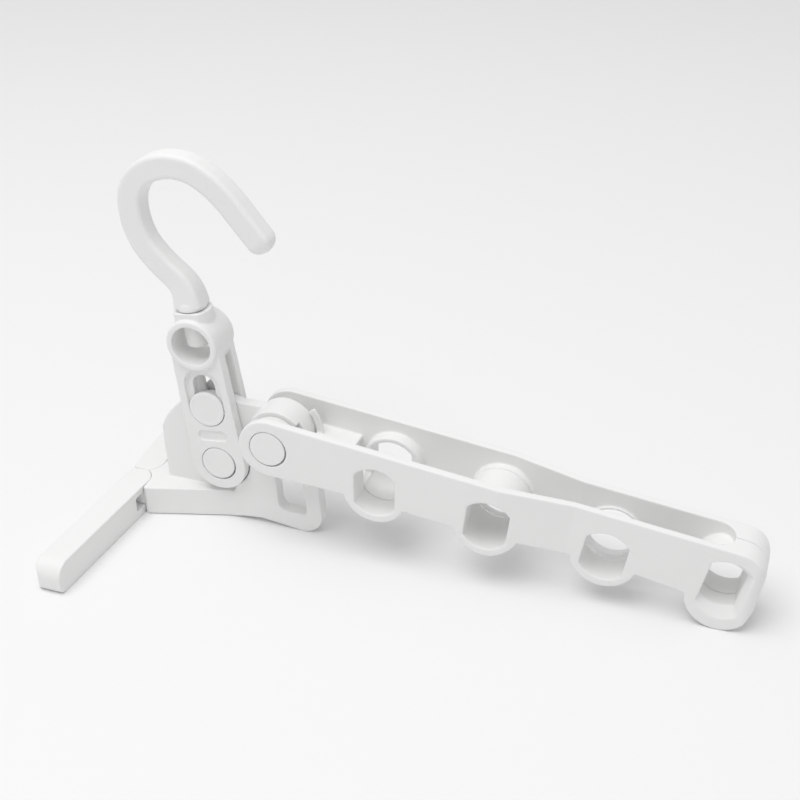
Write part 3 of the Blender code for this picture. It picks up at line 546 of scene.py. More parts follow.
def funnel(name, centre, lean):
    """The last opening of the front half: its lower rim widens towards the front face."""
    bore = hole_outline((0.0, 0.0), TIP_HOLE_RADIUS, TIP_HOLE_FLAT, lean)
    wide = []
    for x, z in bore:
        below = min(1.0, max(0.0, -z / TIP_HOLE_FLAT))
        grow = FUNNEL_SPREAD + (FUNNEL_RADIUS / TIP_HOLE_RADIUS - FUNNEL_SPREAD) * below
        wide.append((x * FUNNEL_SPREAD + FUNNEL_SHIFT, z * grow))
    layers = [(-BEYOND, wide), (-TIP_OUT - 0.1 * MM, wide), (FUNNEL_DEPTH - TIP_OUT, bore),
              (BEYOND, bore)]
    bm = bmesh.new()
    rings = []
    for y, loop in layers:
        rings.append([bm.verts.new((centre[0] + x, y, centre[1] + z)) for x, z in loop])
    count = len(bore)
    for lower, upper in zip(rings, rings[1:]):
        for i in range(count):
            k = (i + 1) % count
            bm.faces.new((lower[i], lower[k], upper[k], upper[i]))
    bm.faces.new(rings[0])
    bm.faces.new(rings[-1])
    bmesh.ops.recalc_face_normals(bm, faces=bm.faces)
    return linked(name, bm, CUTTERS)


def opening(name, number, centre, lean, side):
    """The cutter of one opening. The rear half's second one takes the end of the front tube."""
    if number == 4 and side < 0:
        return funnel(name, centre, lean)
    radius, flat = HOLE_RADIUS, HOLE_FLAT
    if number == 2 and side > 0:
        radius, flat = SOCKET_RADIUS, HOLE_FLAT + SOCKET_RADIUS - HOLE_RADIUS
        centre = (centre[0], centre[1] - SOCKET_DROP)
    if number == 4:
        radius, flat = TIP_HOLE_RADIUS, TIP_HOLE_FLAT
    return upright(name, [hole_outline(centre, radius, flat, lean)], -BEYOND, BEYOND, CUTTERS)


def finish_arm_half(half, helpers, side):
    """Cut the openings, the pin bore and the cap recess, then round the edges."""
    name = half.name
    for i, (centre, lean) in enumerate(arm_holes()):
        hole = opening(f"{name}_opening_{i + 1}", i + 1, centre, lean, side)
        cut(half, hole)
        helpers.append(hole)
    outer = sorted((side * (STRAP_OUT - CAP_THICK - FIT), side * BEYOND))
    recess = cylinder(name + "_recess", ARM_CAP_RADIUS + FIT, *outer, "Y", (0, 0, 0), CUTTERS)
    bore = cylinder(name + "_bore", ARM_PIN_RADIUS + FIT, -BEYOND, BEYOND, "Y", (0, 0, 0), CUTTERS)
    cut(half, recess, bore)
    helpers += [recess, bore]
    soften(half, ARM_ROUNDING, 1)
    place(half, ARM_PIVOT, ARM_SLOPE, helpers)


def shelf_and_tab():
    """The shelf between the straps and the tab that meets the knuckle, both of the rear half."""
    low = SHELF_TOP - SHELF_THICK
    clear = KNUCKLE_RADIUS + FIT
    shelf_loop = [(clear + 0.4 * MM, low), (SHELF_END, low), (SHELF_END, SHELF_TOP),
                  (clear + 0.4 * MM, SHELF_TOP)]
    front = -STRAP_IN + FIT
    shelf = upright("arm_shelf", [shelf_loop], front, STRAP_IN + 1.0 * MM, CUTTERS)
    tab_loop = arc((0.0, 0.0), clear + 0.5 * MM, -1.0, TAB_TURN, 8)
    tab_loop += arc((0.0, 0.0), TAB_RADIUS, TAB_TURN, -1.0, 8)
    tab = upright("arm_tab", [tab_loop], TAB_FRONT, TAB_BACK, CUTTERS)
    return shelf, tab


def make_arm():
    seam = FIT / 2
    crisp = [(0.0, 0.0, ARM_CAP_RADIUS + CRISP_BAND)]
    front_ends = (FIRST_COLLAR, SECOND_TUBE, THIRD_TUBE, -seam)
    front, front_helpers = arm_half("arm_front_moulding", -1, front_ends)
    finish_arm_half(front, front_helpers, -1)
    finish_moulding(front, "arm_front_half", "arm", "body_plastic", ARM_FACES, ARM_PASSES, GRID, crisp)
    rear_ends = (FIRST_RING, SECOND_TUBE + FIT, THIRD_RIM, seam)
    rear, rear_helpers = arm_half("arm_rear_moulding", 1, rear_ends)
    lower_wall = trough("arm_trough", arm_holes()[0][0])
    shelf, tab = shelf_and_tab()
    join(rear, lower_wall, shelf, tab)
    finish_arm_half(rear, rear_helpers + [lower_wall, shelf, tab], 1)
    finish_moulding(rear, "arm_rear_half", "arm", "body_plastic", ARM_FACES, ARM_PASSES, GRID, crisp)


def arm_point(u, w):
    """A point of the arm's frame in the bracket's (x, z), measured from the link pivot."""
    offset = ARM_PIVOT - LINK_PIVOT
    sine = math.sin(ARM_SLOPE)
    cosine = math.cos(ARM_SLOPE)
    return (offset.x + cosine * u + sine * w, offset.z - sine * u + cosine * w)


def sector_outline():
    """The thin upright plate that the fork straddles, round about the link pivot."""
    foot = FOOT_HEIGHT - LINK_PIVOT.z - 6 * MM
    loop = [(-29.2 * MM, foot), (-30.6 * MM, 3.5 * MM)]
    loop += arc((0.0, 0.0), SECTOR_RADIUS, 160, 72, 30)
    loop += [(29.3 * MM, 30.5 * MM), (29.3 * MM, 19.0 * MM), (20.0 * MM, foot)]
    return loop


def body_outline():
    """The thick lower plate, from the foot round the loop and up to the knuckle."""
    clear = FORK_FOOT_RADIUS + FIT + 0.2 * MM
    floor = -LINK_PIVOT.z
    loop = [(-30.0 * MM, floor + 0.5 * MM), (1.0 * MM, floor + 0.5 * MM), (9.0 * MM, floor + 1.5 * MM),
            (18.0 * MM, floor + 2.6 * MM)]
    loop += arc((38.5 * MM, floor + 9.5 * MM), 9.5 * MM, 262, 360, 12)
    loop += [(47.6 * MM, floor + 16.0 * MM), (46.8 * MM, floor + 26.0 * MM)]
    loop += [arm_point(21.0 * MM, -7.0 * MM), arm_point(21.0 * MM, SHELF_TOP - SHELF_THICK - FIT)]
    loop += [arm_point(0.0, SHELF_TOP - SHELF_THICK - FIT)]
    loop += [(16.2 * MM, 24.0 * MM)]
    loop += arc((0.0, 0.0), clear, 12, -60, 12)
    foot_top = floor + FOOT_HEIGHT - 1.0 * MM
    loop += [(4.0 * MM, foot_top), (-30.0 * MM, foot_top)]
    return loop


def loop_opening():
    """The rounded opening of the loop, narrower at its foot."""
    floor = -LINK_PIVOT.z
    loop = arc((31.4 * MM, floor + 13.9 * MM), 4.6 * MM, 180, 262, 8)
    loop += arc((38.5 * MM, floor + 11.4 * MM), 2.2 * MM, 270, 350, 5)
    loop += arc((36.4 * MM, floor + 30.0 * MM), 2.6 * MM, 0, 90, 5)
    loop += arc((29.0 * MM, floor + 29.6 * MM), 3.0 * MM, 90, 180, 5)
    return loop


def wing_pivot(side):
    """The hinge axis of a wing in (x, y), measured from the link pivot."""
    return (WING_PIVOT_X - LINK_PIVOT.x, side * WING_PIVOT_Y)


def foot_plan():
    """The foot seen from above, from the nose between the wings to the stem under the fork."""
    x, y = wing_pivot(-1)
    clear = WING_WIDTH - WING_BEHIND + FIT
    nose = math.degrees(math.asin(WING_PIVOT_Y / clear))
    root = x + clear
    tip = root + FOOT_LENGTH
    side = arc((x, y), clear, nose, 0, 10)
    side += [(root, -FOOT_ROOT_HALF + 1.0 * MM), (root + 1.2 * MM, -FOOT_ROOT_HALF)]
    side += [(tip, -FOOT_STEM_HALF), (tip + 6 * MM, 1.2 * MM - FOOT_STEM_HALF)]
    return side + [(px, -py) for px, py in reversed(side[1:])]


def tongue_plan(side):
    """The mid-height tongue that enters a wing, round about its hinge."""
    x, y = wing_pivot(-1)
    root = x + WING_WIDTH - WING_BEHIND + 5.3 * MM
    loop = [(root, -1.7 * MM), (x + 4.0 * MM, y + 4.4 * MM)]
    loop += arc((x, y), TONGUE_RADIUS, 70, 275, 12)
    loop += [(x + 4.0 * MM, y - 3.8 * MM), (x + 7.5 * MM, y - 4.7 * MM), (root, y - 4.2 * MM)]
    return [(px, -side * py) for px, py in loop]


def make_bracket():
    bracket = upright("bracket_moulding", [sector_outline()], SLIT_FRONT + FIT, SLIT_REAR - FIT, PARTS)
    body = upright("bracket_body", [body_outline(), loop_opening()], -BODY_HALF, BODY_HALF, CUTTERS)
    floor = -LINK_PIVOT.z
    foot = outline("bracket_foot", [foot_plan()], floor + 0.4 * MM, floor + FOOT_HEIGHT, CUTTERS)
    soften(foot, FOOT_ROUNDING)
    offset = ARM_PIVOT - LINK_PIVOT
    knuckle = cylinder("bracket_knuckle", KNUCKLE_RADIUS, -KNUCKLE_HALF, KNUCKLE_HALF, "Y", offset,
                       CUTTERS)
    join(bracket, body, foot, knuckle)
    notch_loop = arc((offset.x, offset.z), KNUCKLE_RADIUS + 2 * MM, 41, -25, 10)
    notch_loop += arc((offset.x, offset.z), WASHER_RADIUS + 0.5 * MM, -25, 41, 8)
    notch = upright("bracket_notch", [notch_loop], -KNUCKLE_HALF - 1 * MM, NOTCH_LEVEL, CUTTERS)
    cut(bracket, notch)
    helpers = [body, foot, knuckle, notch]
    for word, side in (("front", -1), ("rear", 1)):
        low = floor + WING_SLOT_LOW + FIT
        high = floor + WING_SLOT_HIGH - FIT
        tongue = outline(f"bracket_tongue_{word}", [tongue_plan(side)], low, high, CUTTERS)
        join(bracket, tongue)
        x, y = wing_pivot(side)
        bore = cylinder(f"bracket_wing_bore_{word}", WING_PIN_RADIUS + FIT, low - 4 * MM, high + 4 * MM,
                        "Z", (x, y, 0.0), CUTTERS, SMALL_ROUND)
        cut(bracket, bore)
        helpers += [tongue, bore]
    arm_bore = cylinder("bracket_arm_bore", ARM_PIN_RADIUS + FIT, -BEYOND, BEYOND, "Y", offset, CUTTERS,
                        SMALL_ROUND)
    link_bore = cylinder("bracket_link_bore", LINK_PIN_RADIUS + FIT, -BEYOND, BEYOND, "Y", (0, 0, 0),
                         CUTTERS, SMALL_ROUND)
    cut(bracket, arm_bore, link_bore)
    helpers += [arm_bore, link_bore]
    place(bracket, LINK_PIVOT, 0.0, helpers)
    finish_moulding(bracket, "bracket", "bracket", "body_plastic", BRACKET_FACES)


def wing_plan(side):
    """A wing seen from above, from its hinge, pointing to -Y before it is mirrored."""
    back = -WING_BEHIND
    front = WING_WIDTH - WING_BEHIND
    end = -WING_LENGTH
    corner = 4.0 * MM
    inner = 1.5 * MM
    seam = WING_PIVOT_Y - FIT / 2
    loop = [(back, seam - 1.0 * MM)]
    loop += arc((back + corner, end + corner), corner, 180, 270, 8)
    loop += arc((front - inner, end + inner), inner, 270, 360, 4)
    loop += [(front, -1.0 * MM)]
    turn = Matrix.Rotation(-WING_SPLAY, 2)
    loop = [tuple(turn @ Vector(p)) for p in loop]
    nose = math.degrees(math.asin(seam / front))
    loop += arc((0.0, 0.0), front, 0, nose, 8)
    loop += arc((0.0, 0.0), seam, 90, 106, 3)
    return [(x, -side * y) for x, y in loop]


def round_rims(wing, side):
    """Round the upper and lower rims of a wing, but not at its hinge end."""
    bm = bmesh.new()
    bm.from_mesh(wing.data)
    bm.normal_update()
    rims = [edge for edge in bm.edges
            if all(-side * v.co.y < -RIM_START for v in edge.verts)
            and abs(edge.verts[0].co.z - edge.verts[1].co.z) < TINY
            and edge.calc_face_angle(0.0) > RIM_ANGLE]
    bmesh.ops.bevel(bm, geom=rims, offset=WING_EDGE, segments=5, profile=0.5, affect="EDGES",
                    clamp_overlap=False)
    bm.to_mesh(wing.data)
    bm.free()


def hinge_plan(side):
    """The hinge end of a wing, whose edges stay crisp where they meet the foot."""
    back = -WING_BEHIND
    front = WING_WIDTH - WING_BEHIND
    seam = WING_PIVOT_Y - FIT / 2
    nose = math.degrees(math.asin(seam / front))
    loop = [(back + 1.0 * MM, -3.0 * MM), (back + 1.8 * MM, -5.0 * MM), (front - 1.8 * MM, -5.0 * MM)]
    loop += arc((0.0, 0.0), front + HINGE_SNUG, -12, nose, 8)
    loop += arc((0.0, 0.0), seam, 90, 104, 3) + [(back + 0.6 * MM, seam - 1.2 * MM)]
    return [(x, -side * y) for x, y in loop]


def wing_end(side):
    """A wing seen along X, its outer end rounded above and a little below, as (y, z) points."""
    wide = 2 * WING_WIDTH
    end = -WING_LENGTH * math.cos(WING_SPLAY)
    above = WING_HEIGHT + 1.0 * MM
    loop = [(wide, above), (end + WING_END_TOP + 1.0 * MM, above)]
    loop += arc((end + WING_END_TOP, WING_HEIGHT - WING_END_TOP), WING_END_TOP, 84, 180, 8)
    loop += arc((end + WING_END_FOOT, WING_END_FOOT), WING_END_FOOT, 180, 270, 4)
    loop += [(end + WING_END_FOOT, -1.0 * MM), (wide, -1.0 * MM)]
    return [(-side * y, z) for y, z in loop]


def make_wing(word, side):
    wing = outline(f"{word}_wing_moulding", [wing_plan(side)], 0.0, WING_HEIGHT, PARTS)
    round_rims(wing, side)
    hinge = outline(f"{word}_wing_hinge", [hinge_plan(side)], 0.3 * MM, WING_HEIGHT, CUTTERS)
    join(wing, hinge)
    wide = 2 * WING_WIDTH
    rounding = upright(f"{word}_wing_rounding", [wing_end(side)], -wide, wide, CUTTERS)
    rounding.data.transform(Matrix.Rotation(math.pi / 2, 4, "Z"))
    keep(wing, rounding)
    slot_loop = [(-wide, -side * wide), (wide, -side * wide), (wide, side * WING_SLOT_END),
                 (-wide, side * WING_SLOT_END)]
    gap = outline(f"{word}_wing_slot", [slot_loop], WING_SLOT_LOW, WING_SLOT_HIGH, CUTTERS)
    low = WING_SLOT_LOW - WING_PIN_UNDER
    high = WING_SLOT_HIGH + WING_PIN_OVER
    bore = cylinder(f"{word}_wing_bore", WING_PIN_RADIUS + FIT, low, high, "Z", (0, 0, 0), CUTTERS,
                    SMALL_ROUND)
    cut(wing, gap, bore)
    for item in (wing, hinge, rounding, gap, bore):
        item.location = (WING_PIVOT_X, side * WING_PIVOT_Y, 0.0)
    finish_moulding(wing, f"{word}_wing", f"{word}_wing", "body_plastic", WING_FACES)


def fork_side():
    """The fork seen from the front, along its own axis: two rounds and their tangents."""
    spread = math.degrees(math.asin((FORK_FOOT_RADIUS - FORK_TOP_RADIUS) / HUB_RISE))
    loop = arc((0.0, HUB_RISE), FORK_TOP_RADIUS, spread, 180 - spread, 30)
    loop += arc((0.0, 0.0), FORK_FOOT_RADIUS, 180 - spread, 360 + spread, 36)
    return loop


def make_fork():
    fork = upright("link_moulding", [fork_side()], FORK_FRONT, FORK_REAR, PARTS)
    soften(fork, FORK_ROUNDING)
    hub_centre = (0.0, 0.0, HUB_RISE)
    hub = cylinder("link_hub", HUB_RADIUS, HUB_FRONT, HUB_REAR, "Y", hub_centre, CUTTERS)
    soften(hub, HUB_ROUNDING, 1)
    collar = cylinder("link_collar", COLLAR_RADIUS, COLLAR_ROOT, COLLAR_TOP, "Z", hub_centre, CUTTERS)
    beyond = 2 * COLLAR_RADIUS
    above = HUB_RISE + beyond
    facet_loop = [(-beyond, 0.0), (beyond, 0.0), (beyond, above), (-beyond, above)]
    facet = upright("link_facet", [facet_loop], -beyond, COLLAR_FACE, CUTTERS)
    cut(collar, facet)
    join(fork, collar)
    wide = 30 * MM
    between = [(-wide, -wide), (wide, -wide), (wide, HUB_RISE)]
    between += arc((0.0, HUB_RISE), HUB_RADIUS + SLIT_CLEAR, 360, 180, 24) + [(-wide, HUB_RISE)]
    gap = upright("link_gap", [between], SLIT_FRONT, SLIT_REAR, CUTTERS)
    bore = cylinder("link_hub_bore", HUB_BORE, -BEYOND, BEYOND, "Y", hub_centre, CUTTERS)
    pocket = cylinder("link_nub_pocket", NUB_RADIUS + FIT, 0.0, NUB_TOP + FIT, "Z", hub_centre, CUTTERS,
                      SMALL_ROUND)
    neck = cylinder("link_neck_bore", HOOK_SPIGOT_RADIUS + FIT, 0.0, BEYOND, "Z", hub_centre, CUTTERS,
                    SMALL_ROUND)
    window = upright("link_window", [slot(BUTTON_RISE, BUTTON_RISE + BUTTON_TRAVEL, BUTTON_STEM + FIT)],
                     -BEYOND, BEYOND, CUTTERS)
    pin_bore = cylinder("link_pin_bore", LINK_PIN_RADIUS + FIT, -BEYOND, BEYOND, "Y", (0, 0, 0), CUTTERS,
                        SMALL_ROUND)
    helpers = [hub, collar, facet, gap, bore, pocket, neck, window, pin_bore]
    join(fork, hub)
    cut(fork, gap, bore, pocket, neck, window, pin_bore)
    for word, side, face in FORK_FACES:
        outside = side * BEYOND
        track_loop = slot(BUTTON_RISE, BUTTON_RISE + BUTTON_TRAVEL, BUTTON_RADIUS + FIT)
        levels = sorted((face - side * TRACK_DEPTH, face + side * 0.2 * MM))
        track = upright(f"link_track_{word}", [track_loop], *levels, CUTTERS)
        pill_loop = arc((PILL_HALF - PILL_RADIUS, PILL_RISE), PILL_RADIUS, -90, 90, 10)
        pill_loop += arc((PILL_RADIUS - PILL_HALF, PILL_RISE), PILL_RADIUS, 90, 270, 10)
        levels = sorted((face - side * PILL_DEPTH, outside))
        pill = upright(f"link_pill_{word}", [pill_loop], *levels, CUTTERS)
        levels = sorted((face - side * (CAP_THICK + FIT), outside))
        recess = cylinder(f"link_cap_recess_{word}", LINK_CAP_RADIUS + FIT, *levels, "Y", (0, 0, 0),
                          CUTTERS)
        cut(fork, track, pill, recess)
        helpers += [track, pill, recess]
    place(fork, LINK_PIVOT, -LINK_LEAN, helpers)
    track_top = BUTTON_RISE + BUTTON_TRAVEL
    rises = (0.0, PILL_RISE, BUTTON_RISE, track_top)
    crisp = [(0.0, rise, LINK_CAP_RADIUS + CRISP_BAND) for rise in rises]
    crisp.append((0.0, HUB_RISE + COLLAR_TOP, COLLAR_RADIUS))
    finish_moulding(fork, "link_fork", "link", "body_plastic", LINK_FACES, EDGE_PASSES, GRID, crisp)


def make_lock_button():
    """Two dished discs in the tracks, each with a stem through its window."""
    for (word, side, face), wall in zip(FORK_FACES, (SLIT_FRONT, SLIT_REAR)):
        proud = face + side * BUTTON_PROUD
        levels = sorted((face - side * (TRACK_DEPTH - FIT), proud))
        disc = cylinder(f"button_{word}_disc", BUTTON_RADIUS, *levels, "Y", (0, 0, 0), PARTS)
        levels = sorted((proud - side * BUTTON_DISH, proud + side * BUTTON_DISH))
        dish = cylinder(f"button_{word}_dish", BUTTON_RADIUS - BUTTON_RIM, *levels, "Y", (0, 0, 0),
                        CUTTERS)
        levels = sorted((wall + side * STEM_SHORT, face - side * 1.0 * MM))
        stem = cylinder(f"button_{word}_stem", BUTTON_STEM, *levels, "Y", (0, 0, 0), CUTTERS,
                        SMALL_ROUND)
        cut(disc, dish)
        join(disc, stem)
        x, z = lean_point(BUTTON_RISE)
        place(disc, LINK_PIVOT + Vector((x, 0.0, z)), -LINK_LEAN, [dish, stem])
        finish_moulding(disc, f"lock_button_{word}", "lock", "cap_plastic", SMALL_FACES, SMALL_PASSES,
                        FINE_GRID)


def make_cap(node, body, centre, turn, side, face, radius):
    """A flush round cap with a soft rim, a hair off centre in its recess."""
    inner = face - side * CAP_THICK
    levels = sorted((inner, face))
    cap = cylinder(node + "_disc", radius - CAP_SLACK, *levels, "Y", (-CAP_SLACK, 0.0, CAP_SLACK), PARTS)
    place(cap, centre, turn)
    finish_moulding(cap, node, body, "cap_plastic", SMALL_FACES, SMALL_PASSES, FINE_GRID)


def make_caps():
    for word, side, face in FORK_FACES:
        make_cap(f"link_pivot_cap_{word}", "link", LINK_PIVOT, -LINK_LEAN, side, face, LINK_CAP_RADIUS)
        make_cap(f"arm_pivot_cap_{word}", "arm", ARM_PIVOT, ARM_SLOPE, side, side * STRAP_OUT,
                 ARM_CAP_RADIUS)


def hook_line():
    """The hook's centre line in (x, z), from just above the collar, measured from the hub."""
    rises = [(-2.0, 16.2), (-2.5, 19.6), (-3.6, 23.4), (-6.4, 27.6), (-13.9, 34.2), (-21.3, 43.2),
             (-24.8, 54.0), (-24.3, 65.4), (-18.5, 73.9), (-8.6, 78.6), (2.2, 78.5), (11.5, 74.0),
             (19.1, 67.3), (26.3, 58.6), (32.7, 50.7)]
    return smooth_line([Vector(p) * MM for p in rises], 3)


def bar_section(half_wide, half_thick, corner, count=3):
    """A rounded rectangle, the bar's section."""
    loop = []
    for i, (sx, sy) in enumerate(((1, 1), (-1, 1), (-1, -1), (1, -1))):
        centre = (sx * (half_wide - corner), sy * (half_thick - corner))
        loop += arc(centre, corner, 90 * i, 90 * (i + 1), count)
    return loop


def hook_bar():
    """The bar swept along the line, wider at its foot and with a round end."""
    line = hook_line()
    heading = (line[-1] - line[-2]).normalized()
    reach = HOOK_WIDTH / 2
    ends = [math.radians(a) for a in HOOK_END_ANGLES]
    line += [line[-1] + heading * reach * math.sin(a) for a in ends]
    sizes = [1.0 + FOOT_SWELL * max(0.0, 1.0 - i / FOOT_POINTS) for i in range(len(line) - len(ends))]
    sizes += [math.cos(a) for a in ends]
    section = bpy.data.curves.new("hook_section", "CURVE")
    section.dimensions = "2D"
    loop = section.splines.new("POLY")
    corners = bar_section(HOOK_WIDTH / 2, HOOK_HALF, HOOK_CORNER)
    loop.points.add(len(corners) - 1)
    for point, (x, y) in zip(loop.points, corners):
        point.co = (x, y, 0.0, 1.0)
    loop.use_cyclic_u = True
    shape = bpy.data.objects.new("hook_section", section)
    PARTS.objects.link(shape)
    curve = bpy.data.curves.new("hook", "CURVE")
    curve.dimensions = "3D"
    curve.twist_mode = "Z_UP"
    curve.bevel_mode = "OBJECT"
    curve.bevel_object = shape
    curve.use_fill_caps = True
    spline = curve.splines.new("POLY")
    spline.points.add(len(line) - 1)
    for point, place_at, size in zip(spline.points, line, sizes):
        point.co = (place_at.x, place_at.y, 0.0, 1.0)
        point.radius = size
    path = bpy.data.objects.new("hook_path", curve)
    PARTS.objects.link(path)
    hook = bpy.data.objects.new("hook_moulding", welded(path))
    bpy.data.objects.remove(shape, do_unlink=True)
    PARTS.objects.link(hook)
    return stand_up(hook)


def make_hook():
    hook = hook_bar()
    low = COLLAR_TOP + FIT
    stem_profile = [(0.0, low + 6 * MM), (HOOK_HALF - 0.6 * MM, low + 6 * MM)]
    stem_profile += [(HOOK_STEM_RADIUS - 0.4 * MM, low + 3 * MM), (HOOK_STEM_RADIUS, low + 0.5 * MM)]
    stem_profile += [(HOOK_STEM_RADIUS - 0.4 * MM, low), (HOOK_SPIGOT_RADIUS, low)]
    stem_profile += [(HOOK_SPIGOT_RADIUS, SPIGOT_LOW), (0.0, SPIGOT_LOW)]
    stem = turned("hook_stem", stem_profile, CUTTERS)
    hub = LINK_PIVOT + Vector((lean_point(HUB_RISE)[0], 0.0, lean_point(HUB_RISE)[1]))
    hook.location = hub
    stem.location = hub
    stem.rotation_euler = (0.0, -LINK_LEAN, 0.0)
    join(hook, stem)
    finish_moulding(hook, "hook", "hook", "hook_plastic", HOOK_FACES, HOOK_PASSES)
    nub_profile = [(0.0, NUB_TOP), (NUB_RADIUS, NUB_TOP), (NUB_RADIUS, NUB_BOTTOM + NUB_CORNER)]
    corner = (NUB_RADIUS - NUB_CORNER, NUB_BOTTOM + NUB_CORNER)
    nub_profile += arc(corner, NUB_CORNER, 0, -90, 5)[1:]
    nub_profile += [(0.0, NUB_BOTTOM)]
    nub = turned("retainer_nub", nub_profile, PARTS)
    socket = cylinder("hook_retainer_socket", HOOK_SPIGOT_RADIUS + FIT, SPIGOT_LOW - FIT, BEYOND, "Z",
                      (0, 0, 0), CUTTERS, SMALL_ROUND)
    cut(nub, socket)
    place(nub, hub, -LINK_LEAN, [socket])
    finish_moulding(nub, "hook_retainer", "hook", "pin_plastic", SMALL_FACES, SMALL_PASSES, FINE_GRID)


# Finishes: the material's name, its light and dark tones, its least and most roughness, and its grain

PLASTICS = {
    "body_plastic": ("body_white_plastic", (0.845, 0.845, 0.84), (0.82, 0.82, 0.812), 0.44, 0.58, 0.25),
    "hook_plastic": ("hook_white_plastic", (0.845, 0.845, 0.84), (0.82, 0.82, 0.812), 0.46, 0.6, 0.2),
    "cap_plastic": ("cap_white_plastic", (0.85, 0.85, 0.845), (0.83, 0.83, 0.822), 0.3, 0.42, 0.15),
    "pin_plastic": ("pin_white_plastic", (0.8, 0.8, 0.79), (0.77, 0.77, 0.76), 0.36, 0.5, 0.2),
}
PLASTIC_IOR = 1.47
DRIFT_SIZE = 22 * MM
FLOW_SIZE = 5 * MM
SPECK_SIZE = 1.1 * MM
GRAIN_SIZE = 0.35 * MM
GRAIN_DEPTH = 0.05 * MM


class Wire:
    """A socket that carries a value, so that sums on it add Math nodes."""

    def __init__(self, nodes, socket):
        self.nodes = nodes
        self.socket = socket

    def math(self, operation, first, second):
        return self.nodes.node("ShaderNodeMath", {"operation": operation}, {0: first, 1: second})

    def __add__(self, other):
        return self.math("ADD", self, other)

    def __radd__(self, other):
        return self.math("ADD", other, self)

    def __mul__(self, other):
        return self.math("MULTIPLY", self, other)

    def __rmul__(self, other):
        return self.math("MULTIPLY", other, self)


class Nodes:
    """A tree of nodes, of a material or of the world."""

    def __init__(self, tree):
        self.tree = tree

    def node(self, kind, settings=None, inputs=None, output=0):
        """Add a node: its settings first, then the values or wires of its sockets."""
        node = self.tree.nodes.new(kind)
        for word, value in (settings or {}).items():
            setattr(node, word, value)
        for key, value in (inputs or {}).items():
            self.feed(node.inputs[key], value)
        return Wire(self, node.outputs[output])

    def feed(self, socket, value):
        if isinstance(value, Wire):
            self.tree.links.new(value.socket, socket)
        else:
            socket.default_value = value


class Finish(Nodes):
    """A material on one Principled shader, with its constant values."""

    def __init__(self, name, constants):
        self.material = bpy.data.materials.new(name)
        self.material.use_nodes = True
        super().__init__(self.material.node_tree)
        self.shader = self.tree.nodes["Principled BSDF"]
        for word, value in constants.items():
            self.shade(word, value)

    def shade(self, word, value):
        self.feed(self.shader.inputs[word], value)

    def noise(self, position, size, detail, roughness=0.5):
        """A noise whose patches are about the given size across, from 0 to 1."""
        inputs = {"Vector": position, "Scale": 1.0 / size, "Detail": detail, "Roughness": roughness}
        return self.node("ShaderNodeTexNoise", {"normalize": True}, inputs)

    def mix(self, share, first, second):
        """Two colours mixed by a value."""
        inputs = {"Factor": share, 6: (*first, 1.0), 7: (*second, 1.0)}
        return self.node("ShaderNodeMix", {"data_type": "RGBA"}, inputs, output=2)


def moulded_plastic(name, light, shadow, gloss_low, gloss_high, grain):
    """A satin moulded plastic: slow drifts of tone, flow marks in the sheen and a fine grain."""
    finish = Finish(name, {"IOR": PLASTIC_IOR, "Metallic": 0.0})
    position = finish.node("ShaderNodeTexCoord", output="Object")
    drift = finish.noise(position, DRIFT_SIZE, 1.0)
    flow = finish.noise(position, FLOW_SIZE, 3.0)
    speck = finish.noise(position, SPECK_SIZE, 2.0)
    tone = drift * 0.7 + flow * 0.2 + speck * 0.1
    finish.shade("Base Color", finish.mix(tone, shadow, light))
    finish.shade("Roughness", flow * (gloss_high - gloss_low) + gloss_low)
    fine = finish.noise(position, GRAIN_SIZE, 2.0, roughness=0.6)
    height = fine * 0.6 + speck * 0.4
    bump = {"Strength": grain, "Distance": GRAIN_DEPTH, "Height": height}
    finish.shade("Normal", finish.node("ShaderNodeBump", None, bump))
    return finish.material


def dress(obj, finish):
    obj.data.materials.clear()
    obj.data.materials.append(finish)


def dress_all():
    """One finish for each slot, on the drawn pieces and on the solids that stay."""
    finishes = {slot_name: moulded_plastic(*values) for slot_name, values in PLASTICS.items()}
    for obj, slot_name in PIECES:
        dress(obj, finishes[slot_name])
    for name, obj in frame["nodes"].items():
        if "pin" in name or "washer" in name:
            dress(obj, finishes["pin_plastic"])


# Floor, light and camera

def make_floor():
    """A wide pale floor, whose tone drifts a little with the distance from the object."""
    bm = bmesh.new()
    bmesh.ops.create_grid(bm, x_segments=1, y_segments=1, size=FLOOR_HALF)
    floor = linked("floor", bm, PARTS)
    finish = Finish("floor_paper", {"Roughness": 0.9, "Specular IOR Level": 0.2})
    place_on = finish.node("ShaderNodeTexCoord", output="Object")
    subtract = {"operation": "SUBTRACT"}
    offset = finish.node("ShaderNodeVectorMath", subtract, {0: place_on, 1: FLOOR_CENTRE})
    away = finish.node("ShaderNodeVectorMath", {"operation": "LENGTH"}, {0: offset}, output="Value")
    ranges = {"Value": away, "From Min": FLOOR_NEAR, "From Max": FLOOR_FAR}
    far = finish.node("ShaderNodeMapRange", {"interpolation_type": "SMOOTHSTEP"}, ranges)
    finish.shade("Base Color", finish.mix(far, FLOOR_PALE, FLOOR_EDGE))
    dress(floor, finish.material)


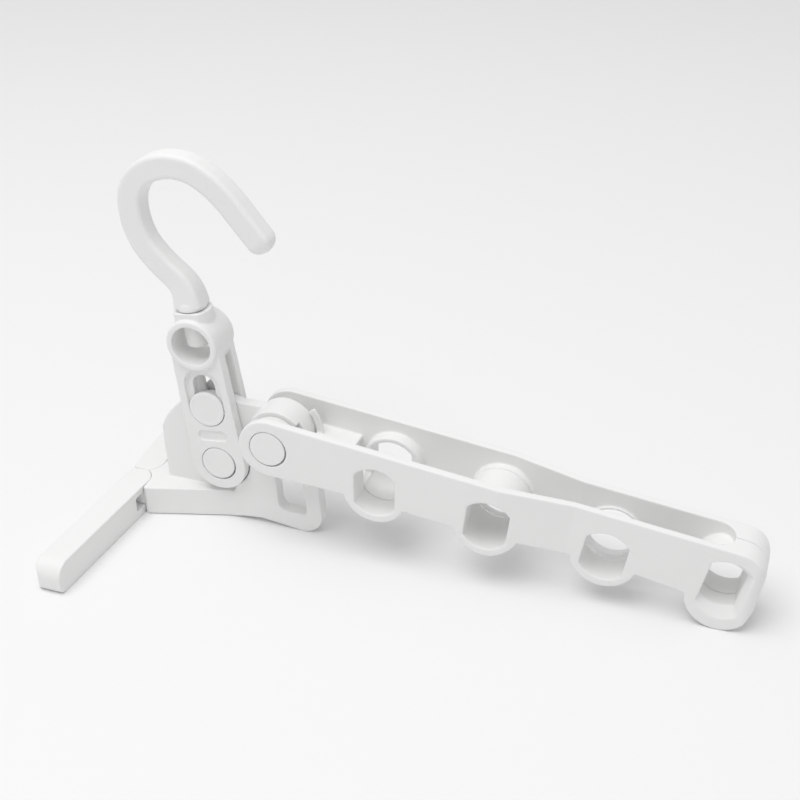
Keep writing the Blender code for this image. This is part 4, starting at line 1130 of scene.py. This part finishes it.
def make_sky():
    """A soft sky that is brighter overhead, and plain and pale where it is seen or mirrored."""
    world = bpy.data.worlds.new("studio")
    bpy.context.scene.world = world
    world.use_nodes = True
    sky = Nodes(world.node_tree)
    around = sky.node("ShaderNodeTexCoord", output="Generated")
    height = sky.node("ShaderNodeSeparateXYZ", None, {0: around}, output="Z")
    glow = sky.node("ShaderNodeMapRange", None, {"Value": height, "To Min": SKY_LOW, "To Max": SKY_HIGH})
    seen = 0.0
    for ray in ("Is Camera Ray", "Is Glossy Ray", "Is Transmission Ray"):
        kind = sky.node("ShaderNodeLightPath", output=ray)
        seen = sky.node("ShaderNodeMath", {"operation": "MAXIMUM"}, {0: seen, 1: kind})
    strength = sky.node("ShaderNodeMix", None, {"Factor": seen, "A": glow, "B": SKY_SEEN})
    background = sky.tree.nodes["Background"]
    sky.feed(background.inputs["Color"], (1.0, 1.0, 1.0, 1.0))
    sky.feed(background.inputs["Strength"], strength)


def make_lamp():
    """A wide lamp above, a little in front of the object."""
    lamp_data = bpy.data.lights.new("soft_lamp", "AREA")
    lamp_data.shape = "DISK"
    lamp_data.size = LAMP_SIZE
    lamp_data.energy = LAMP_POWER
    lamp = bpy.data.objects.new("soft_lamp", lamp_data)
    lamp.location = LAMP_PLACE
    lamp.rotation_euler = (-Vector(LAMP_PLACE)).to_track_quat("-Z", "Y").to_euler()
    PARTS.objects.link(lamp)


def make_camera():
    """The camera that the photograph's straight edges give."""
    camera_data = bpy.data.cameras.new("camera")
    camera_data.sensor_width = 36.0
    camera_data.lens = CAMERA_LENS
    camera_data.clip_start = 0.01
    camera = bpy.data.objects.new("camera", camera_data)
    azimuth, elevation, roll = (math.radians(a) for a in CAMERA_ANGLES)
    back = Vector((math.sin(azimuth) * math.cos(elevation), -math.cos(azimuth) * math.cos(elevation),
                   math.sin(elevation)))
    level = Vector((math.cos(azimuth), math.sin(azimuth), 0.0))
    upward = back.cross(level)
    right = math.cos(roll) * level + math.sin(roll) * upward
    up = back.cross(right)
    turn = Matrix((right, up, back)).transposed()
    camera.matrix_world = Matrix.Translation(CAMERA_PLACE) @ turn.to_4x4()
    PARTS.objects.link(camera)
    bpy.context.scene.camera = camera


make_camera()
make_sky()
make_lamp()
make_floor()
make_bracket()
make_wing("front", -1)
make_wing("rear", 1)
make_fork()
make_lock_button()
make_caps()
make_hook()
make_arm()
dress_all()
for helper in list(CUTTERS.objects):
    bpy.data.objects.remove(helper, do_unlink=True)
bpy.context.scene.view_settings.view_transform = "Standard"
